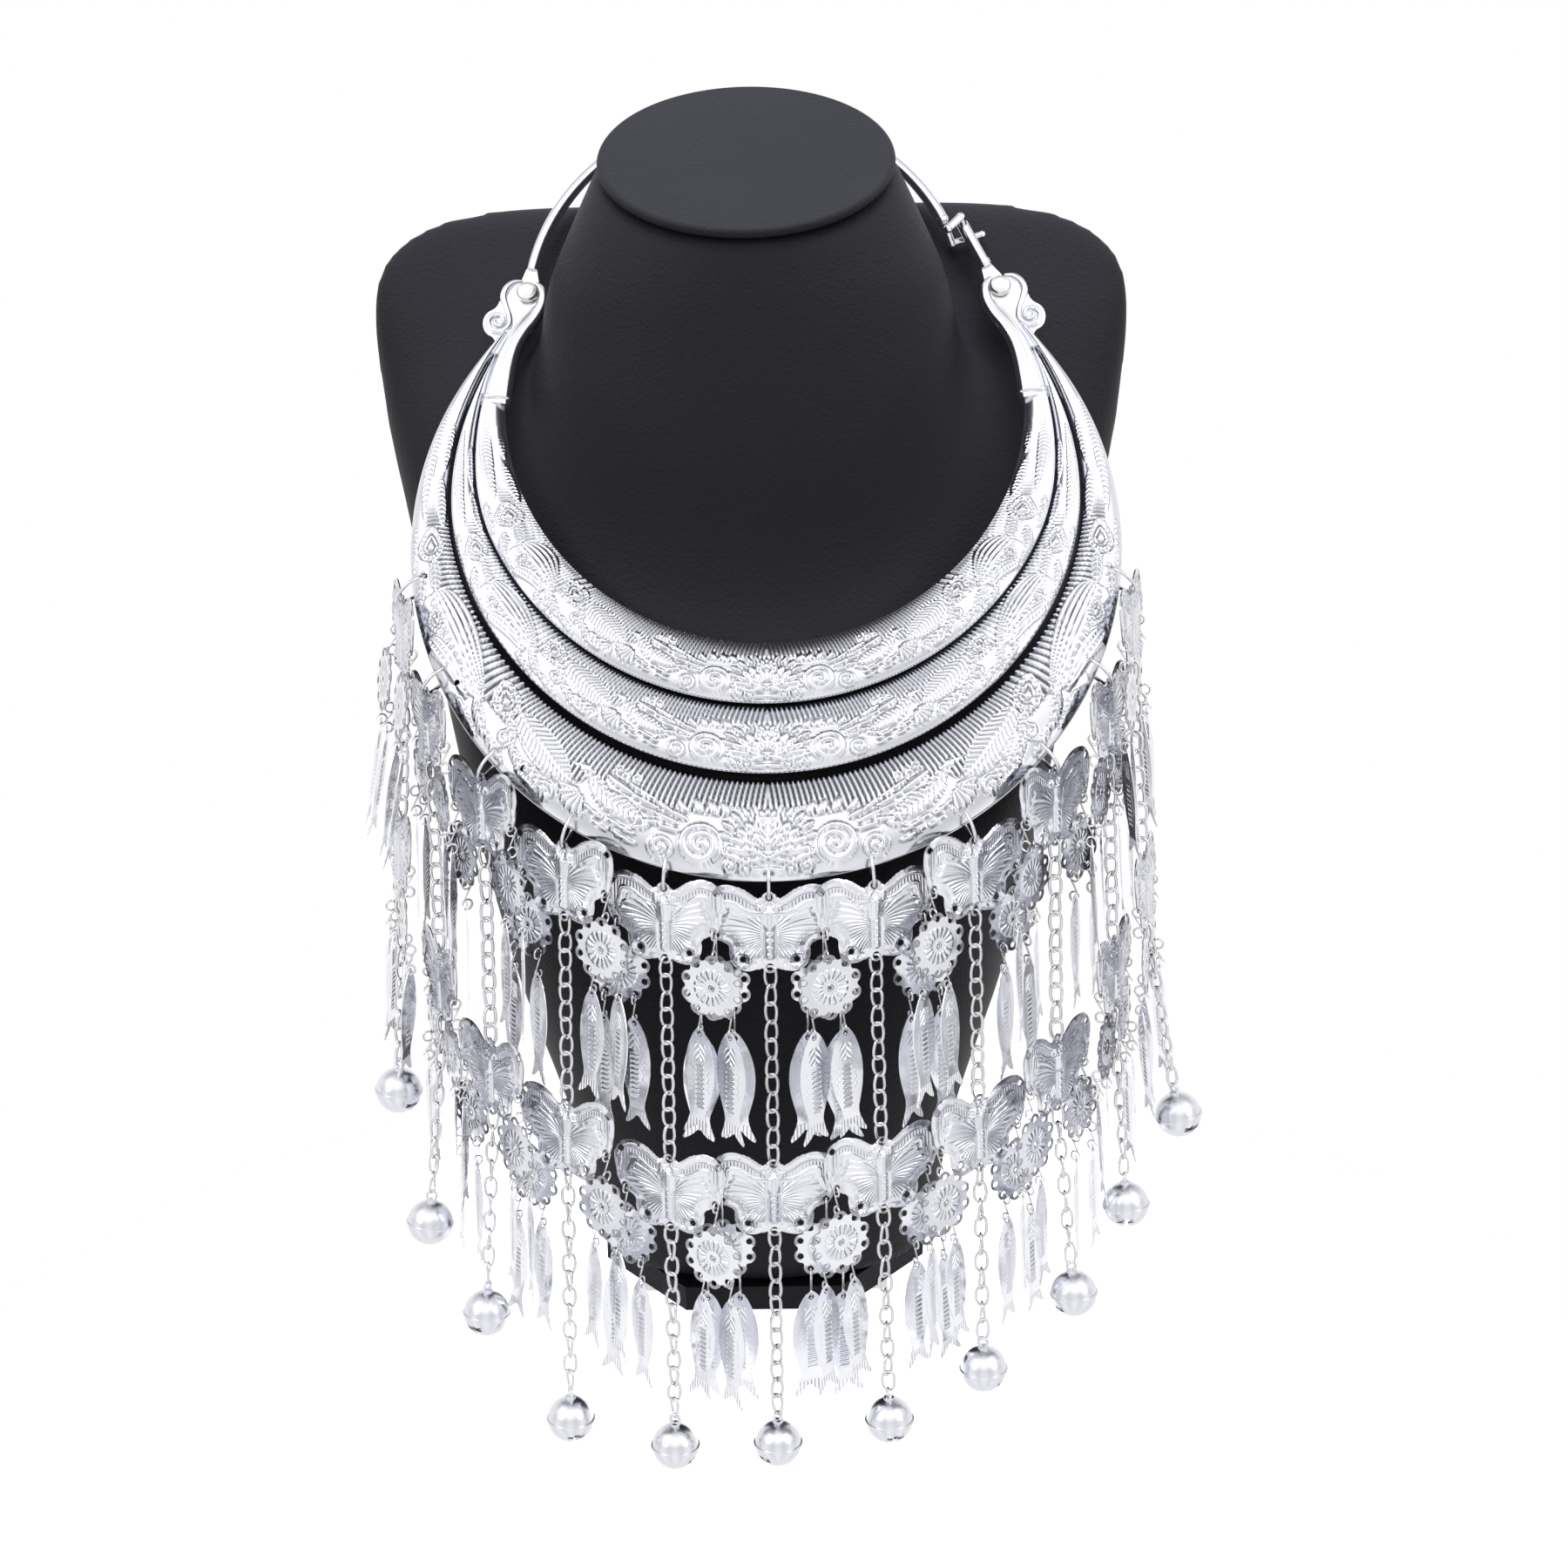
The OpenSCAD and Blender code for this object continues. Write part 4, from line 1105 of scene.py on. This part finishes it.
def fish_template(bend):
    """A fish whose tail swings to one side, slightly curved and with a ridge down its body."""
    top, length = FISH[0][1], 39

    def side_point(point, side):
        x, z = point
        return side * x + bend * ((top - z) / length) ** 2, z

    outline = [side_point(p, 1) for p in FISH] + [side_point(p, -1) for p in FISH[1:-1][::-1]]
    outline = rounded(outline, 1)
    hole = (0.06 * bend, FISH_HOLE_H)
    bm = flat_sheet(outline, [circle_points(hole, FISH_HOLE_R, 10)])
    cut_lines(bm, 3.6, axes=("z",))
    cut_lines(bm, 2.3, axes=("x",))
    flat_map(bm)
    for vert in bm.verts:
        x, z = vert.co.x, vert.co.z
        ridge = -0.12 * math.exp(-(x / 2.2) ** 2) if -11 < z < 13 else 0
        below = z - FISH_HOLE_H
        vert.co.y = ridge + 0.0012 * bend * below * x - 0.0006 * below ** 2
    thicken(bm, -0.3)
    mark_distance(bm, "rim_distance", outline, [(*hole, FISH_HOLE_R)])
    return bm


def hook_template(top, bottom):
    """An S-shaped wire hook that hangs from its top and carries at its bottom."""
    r = 1.75
    above = np.radians(np.linspace(-215, 95, 12))
    below = np.radians(np.linspace(-85, 215, 12))
    upper = [(0, r * math.sin(a), top - r + r * math.cos(a)) for a in above]
    lower = [(0, r * math.sin(a), bottom + r + r * math.cos(a)) for a in below]
    return wire(upper + lower, 0.37)


def link_template():
    """An oval curb link with a slight twist."""
    half, side = 3.65, 2.1
    path = []
    for a in np.radians(np.linspace(0, 360, 15)[:-1]):
        c, s = math.cos(a), math.sin(a)
        x = side * np.sign(c) * abs(c) ** 0.8
        z = half * np.sign(s) * abs(s) ** 0.9
        path.append((x, 0.28 * math.sin(2 * a), z))
    return wire(path, 0.56, closed=True)


butterfly_mesh = butterfly_template()
flower_mesh = flower_template()
fish_meshes = {side: fish_template(side * FISH_BEND) for side in (-1, 1)}
upper_hook = hook_template(FLOWER_DROP + 0.35, FLOWER_R - 0.6)
fish_hook = hook_template(-FLOWER_R * math.cos(2 * math.pi / FLOWER_LOBES) + 0.5, -FISH_HOLE_DROP - 0.35)
link = link_template()


def make_butterfly(name, place):
    bm = butterfly_mesh.copy()
    bmesh.ops.transform(bm, matrix=place, verts=bm.verts)
    to_metres(bm)
    finish_piece(name + "_stamped", mesh_from(bm, name), wing_metal, "silver", name, sharp=55)


def hang_flowers(sheets, wires, place, k, turn, tilt):
    """Two flowers on wire hooks below a butterfly, each with two fish, all swung a little by a rule."""
    flowers, fishes = sheets
    for s in (-1, 1):
        swing = 2.5 * math.sin(math.radians(97 * k + 40 * s))
        outer = tilt == 0 and (turn == 0 or (turn > 0) == (s > 0))
        side = s if turn == 0 else (1 if turn > 0 else -1)
        hole = Matrix.Translation((s * WING_HOLE[0], 0, WING_HOLE[1]))
        at = place @ hole @ turn_z(swing) @ turn_x(-tilt) @ along(-FLOWER_DROP)
        forward = FLOWER_FRONT if outer else -FLOWER_FRONT
        join(flowers, flower_mesh, at @ Matrix.Translation((0, forward, 0)))
        join(wires, upper_hook, at)
        for f in (-1, 1):
            fish_turn = side * (22 + 4 * math.sin(math.radians(61 * k + 80 * f + 150 * s)))
            beside = at @ Matrix.Translation((f * FISH_SIDE, 0, 0))
            join(wires, fish_hook, beside)
            fish_place = beside @ along(-FISH_HOLE_DROP) @ turn_z(fish_turn) @ along(-FISH_HOLE_H)
            join(fishes, fish_meshes[f], fish_place)


def make_chain(k):
    """The links between the two butterflies and from the lower one to the bell."""
    bm = bmesh.new()
    bell_top = bell_h(k) + BELL_R + 3.4
    upper = (strand(k), lower_h(k) + TAB_H, -2 * TAB_H)
    lower = (lower_end(k), bell_top, lower_h(k) - TAB_H)
    for place, low, high in (upper, lower):
        count = max(3, round((high - low) / LINK_PITCH))
        pitch = (high - low - 0.5) / count
        stretch = Matrix.Scale(min(1.12, max(0.86, pitch / LINK_PITCH)), 4, (0, 0, 1))
        for i in range(count):
            z = low + 0.25 + pitch * (i + 0.5)
            turn = (34 if i % 2 else -30) + 8 * math.sin(5 * k + i)
            join(bm, link, place @ along(z) @ turn_z(turn) @ stretch)
    to_metres(bm)
    finish_piece("chain_%d_links" % k, mesh_from(bm, "chain"), wire_metal, "chain_metal", "chain_%d" % k)


def make_drops(k, upper_place, lower_place):
    """The flowers, fish and wire hooks of a strand's two butterflies."""
    flowers, fishes, wires = bmesh.new(), bmesh.new(), bmesh.new()
    hang_flowers((flowers, fishes), wires, upper_place, k, plate_turn(k, False), hang(k)[6])
    hang_flowers((flowers, fishes), wires, lower_place, k + 20, plate_turn(k, True), 0)
    kinds = (
        (flowers, "flowers", flower_metal, 50),
        (fishes, "fish", fish_metal, 50),
        (wires, "hooks", wire_metal, 0),
    )
    for bm, name, material, sharp in kinds:
        to_metres(bm)
        mesh = mesh_from(bm, name)
        finish_piece("drops_%d_%s" % (k, name), mesh, material, "drop_metal", "drops_%d" % k, sharp=sharp)


for k in STRANDS:
    upper_place = strand(k) @ along(-TAB_H) @ turn_z(plate_turn(k, False))
    lower_place = strand(k) @ along(lower_h(k)) @ turn_z(plate_turn(k, True))
    make_butterfly("upper_butterfly_%d" % k, upper_place)
    make_butterfly("lower_butterfly_%d" % k, lower_place)
    make_drops(k, upper_place, lower_place)
    make_chain(k)


# Neck bust

# Sections of the torso: height, half width, and the places of its front, widest line and back
TORSO = [
    (9.4, 61, -48, 0, 42), (24, 64.5, -54, 3, 45), (65, 73, -67, 8, 48), (115, 89, -83, 12, 50),
    (160, 99.5, -96, 17, 52), (188, 105.5, -102.6, 20, 54), (200, 108, -96.8, 22, 55),
    (225, 113.5, -79, 25, 57),
    (250, 118.5, -61, 28, 58), (275, 123, -42, 31, 59), (304, 129, -20, 34, 60), (325, 132, -3, 36, 60),
    (345, 134, 12, 38, 60), (358, 132.5, 22, 40, 59), (367, 128, 28.5, 41, 57), (375, 117, 34, 42.5, 55),
    (380, 101, 37.5, 44, 53), (382.5, 80, 40.5, 45, 50),
]
TORSO_SQUARENESS = 2.3
# Sections of the neck: height and place of the middle, half width, half depth and tilt
NECK = [
    (250, -8, 66, 48, 0), (285, -5, 75, 51, 0), (320, -4, 76.5, 51.5, 0), (346, -3.5, 71.5, 51, 0),
    (364, -3.5, 67, 50.5, 4), (380, -4, 60, 50, 11), (392, -5.3, 54, 49.7, 18),
    (400.2, -6.4, 49.7, 49.5, 23.5),
]


def torso_places(row, c, s):
    """Places on rounded-square sections, from the cosine and sine of the turn."""
    height, half, front, widest, back = row.T
    power = 2 / TORSO_SQUARENESS
    reach = np.where(s < 0, widest - front, back - widest)
    x = half * np.sign(c) * np.abs(c) ** power
    return x, widest + reach * np.sign(s) * np.abs(s) ** power, height


def neck_places(row, c, s):
    """Places on oval sections that tilt forward near the top."""
    height, middle, half_width, half_depth, tilt = row.T
    tilt = np.radians(tilt)
    return half_width * c, middle + half_depth * s * np.cos(tilt), height + half_depth * s * np.sin(tilt)


def skin(rows, sides, count, section):
    """A closed skin through the sections, smoothly filled in to a finer count of them."""
    fine = eased(rows, count)
    bm, u, v = unit_grid(sides, count - 1)
    angle = 2 * math.pi * u
    row = fine[np.rint(v * (count - 1)).astype(int)]
    move_verts(bm, np.stack(section(row, np.cos(angle), np.sin(angle)), 1))
    bmesh.ops.remove_doubles(bm, verts=bm.verts, dist=0.001)
    borders = [e for e in bm.edges if e.is_boundary]
    filled = bmesh.ops.edgeloop_fill(bm, edges=borders)["faces"]
    bmesh.ops.inset_region(bm, faces=filled, thickness=2.0, depth=0)
    bmesh.ops.recalc_face_normals(bm, faces=bm.faces)
    return bm


def tree_of(places):
    tree = KDTree(len(places))
    for i, place in enumerate(places):
        tree.insert(place, i)
    tree.balance()
    return tree


def soften(bm, verts, times):
    for _ in range(times):
        bmesh.ops.smooth_vert(bm, verts=verts, factor=0.5, use_axis_x=True, use_axis_y=True, use_axis_z=True)


def one_skin(bm, voxel):
    """The bmesh remeshed as one closed skin of even faces."""
    holder = bpy.data.objects.new("bust", mesh_from(bm, "bust"))
    scene.collection.objects.link(holder)
    remesh = holder.modifiers.new("remesh", "REMESH")
    remesh.mode = "VOXEL"
    remesh.voxel_size = voxel
    mesh = bpy.data.meshes.new_from_object(holder.evaluated_get(bpy.context.evaluated_depsgraph_get()))
    bpy.data.objects.remove(holder)
    made = bmesh.new()
    made.from_mesh(mesh)
    bpy.data.meshes.remove(mesh)
    return made


def smooth_bust():
    """Neck and torso as one skin, with a wide hollow where the neck runs into the chest."""
    torso = skin(TORSO, 112, 90, torso_places)
    neck = skin(NECK, 96, 46, neck_places)
    torso_tree = tree_of([v.co for v in torso.verts])
    seam = tree_of([v.co.copy() for v in neck.verts if torso_tree.find(v.co)[2] < 4.5])
    join(torso, neck)
    neck.free()
    bm = one_skin(torso, 3.0)
    near = [v for v in bm.verts if v.co.y < 8 and v.co.z < 352 and seam.find(v.co)[2] < 40]
    close = [v for v in near if seam.find(v.co)[2] < 26]
    soften(bm, near, 60)
    soften(bm, close, 60)
    soften(bm, [v for v in bm.verts if v.co.z > 16], 6)
    to_metres(bm)
    finish_piece("bust_skin", mesh_from(bm, "bust"), bust_cover, "bust_cover", "neck_bust")


smooth_bust()

CAD_FINISH = {
    "neck_cap": bust_cover, "bust_foot": bust_cover, "rivet_left": rivet_metal, "rivet_right": rivet_metal,
    "back_rod": rod_metal, "clasp_rod": rod_metal, "jump_rings": wire_metal, "bells": bell_metal,
}
for name, material in CAD_FINISH.items():
    mesh = nodes[name].data
    mesh.materials.clear()
    mesh.materials.append(material)


# Stage, light and camera

PLINTH_LOW = Vector((-0.045, -0.035, -0.07))
PLINTH_HIGH = Vector((0.045, 0.035, -0.0005))
FLOOR_R = 0.33
FLOOR_THICKNESS = 0.01

paper, _, paper_shader = blank_material("white_paper")
paper_shader.inputs["Base Color"].default_value = (0.8, 0.8, 0.8, 1)
paper_shader.inputs["Roughness"].default_value = 0.9
paper_shader.inputs["Emission Color"].default_value = (1, 1, 1, 1)
paper_shader.inputs["Emission Strength"].default_value = 0.5


def stage_piece(name, bm, middle):
    bmesh.ops.translate(bm, vec=middle, verts=bm.verts)
    mesh = mesh_from(bm, name)
    mesh.materials.append(paper)
    made = bpy.data.objects.new(name, mesh)
    scene.collection.objects.link(made)
    return made


def make_plinth():
    bm = bmesh.new()
    bmesh.ops.create_cube(bm, size=1.0)
    bmesh.ops.scale(bm, vec=PLINTH_HIGH - PLINTH_LOW, verts=bm.verts)
    stage_piece("plinth", bm, (PLINTH_HIGH + PLINTH_LOW) / 2)


def make_floor():
    bm = bmesh.new()
    bmesh.ops.create_cone(
        bm, cap_ends=True, segments=96, radius1=FLOOR_R, radius2=FLOOR_R, depth=FLOOR_THICKNESS)
    floor = stage_piece("floor", bm, (0, 0, PLINTH_LOW.z - FLOOR_THICKNESS / 2))
    floor.visible_glossy = False


make_plinth()
make_floor()

# Brightness of the surroundings before and behind the bust: height of a direction, level
FRONT_LIGHT = [
    (-1, 1.05), (-0.5, 1.06), (-0.28, 1.04), (-0.1, 1.0), (0.05, 0.9), (0.2, 0.84), (0.4, 1.1), (0.6, 1.4),
    (0.8, 1.66), (0.9, 1.35), (1, 0.85),
]
BACK_LIGHT = [(-1, 1), (0.36, 1), (0.55, 0.75), (0.75, 0.58), (1, 0.62)]
BRIGHTEST = 2.5
PANELS = 6.0


def by_height(height, stops):
    """Brightness by the height of a direction, from straight down at -1 to straight up at 1."""
    made = height.tree.nodes.new("ShaderNodeValToRGB")
    (height * 0.5 + 0.5).to(made.inputs[0])
    while len(made.color_ramp.elements) < len(stops):
        made.color_ramp.elements.new(0.5)
    for element, (place, level) in zip(made.color_ramp.elements, stops):
        grey = level / BRIGHTEST
        element.position = place * 0.5 + 0.5
        element.color = (grey, grey, grey, 1)
    return Value(height.tree, made.outputs[0]) * BRIGHTEST


def light_surroundings():
    """A white room whose brightness changes with height, softly striped in front and duller behind."""
    world = bpy.data.worlds.new("studio") if scene.world is None else scene.world
    scene.world = world
    world.use_nodes = True
    tree = world.node_tree
    tree.nodes.clear()
    background = tree.nodes.new("ShaderNodeBackground")
    surround = tree.nodes.new("ShaderNodeOutputWorld")
    tree.links.new(background.outputs[0], surround.inputs[0])
    direction = tree.nodes.new("ShaderNodeTexCoord")
    parts = tree.nodes.new("ShaderNodeSeparateXYZ")
    tree.links.new(direction.outputs["Generated"], parts.inputs[0])
    x, y, z = (Value(tree, socket) for socket in parts.outputs)
    stripes = calc("COSINE", calc("ARCTAN2", x, y * -1.0) * PANELS) * 0.12 + 0.95
    behind = calc("MINIMUM", calc("MAXIMUM", y * 4.0, 0.0), 1.0)
    level = by_height(z, FRONT_LIGHT) * stripes * (1.0 - behind) + by_height(z, BACK_LIGHT) * behind
    background.inputs["Color"].default_value = (1.0, 1.0, 1.0, 1)
    level.to(background.inputs["Strength"])


light_surroundings()


def softbox(name, place, aim, size, power):
    light = bpy.data.lights.new(name, "AREA")
    light.shape = "RECTANGLE"
    light.size, light.size_y = size
    light.energy = power
    made = bpy.data.objects.new(name, light)
    scene.collection.objects.link(made)
    made.location = place
    made.rotation_euler = (Vector(aim) - Vector(place)).to_track_quat("-Z", "Y").to_euler()
    return made


softbox("left_softbox", (-1.1, -0.9, 0.9), (0, -0.05, 0.2), (0.5, 1.0), 4)
softbox("right_softbox", (1.2, -0.8, 0.8), (0, -0.05, 0.2), (0.4, 1.0), 3)
overhead = softbox("overhead_panel", (0.0, 0.05, 1.5), (0, 0.03, 0.3), (0.9, 0.9), 60)
overhead.visible_glossy = False


CAMERA_PLACE = (0.01724, -1.008, 0.490)
CAMERA_DOWN = math.radians(17.0)
CAMERA_ASIDE = math.radians(-0.4377)
CAMERA_ROLL = math.radians(0.85)


def place_camera():
    level = Vector((math.sin(CAMERA_ASIDE), math.cos(CAMERA_ASIDE), 0))
    ahead = level * math.cos(CAMERA_DOWN) - Vector((0, 0, math.sin(CAMERA_DOWN)))
    right = Vector((math.cos(CAMERA_ASIDE), -math.sin(CAMERA_ASIDE), 0))
    up = right.cross(ahead)
    c, s = math.cos(CAMERA_ROLL), math.sin(CAMERA_ROLL)
    across, above = c * right - s * up, s * right + c * up
    data = bpy.data.cameras.new("camera")
    data.lens = 67.5
    data.sensor_width = 36.0
    camera = bpy.data.objects.new("camera", data)
    scene.collection.objects.link(camera)
    turn = Matrix((across, above, -ahead)).transposed().to_4x4()
    camera.matrix_world = Matrix.Translation(CAMERA_PLACE) @ turn
    scene.camera = camera


place_camera()
scene.view_settings.view_transform = "Standard"
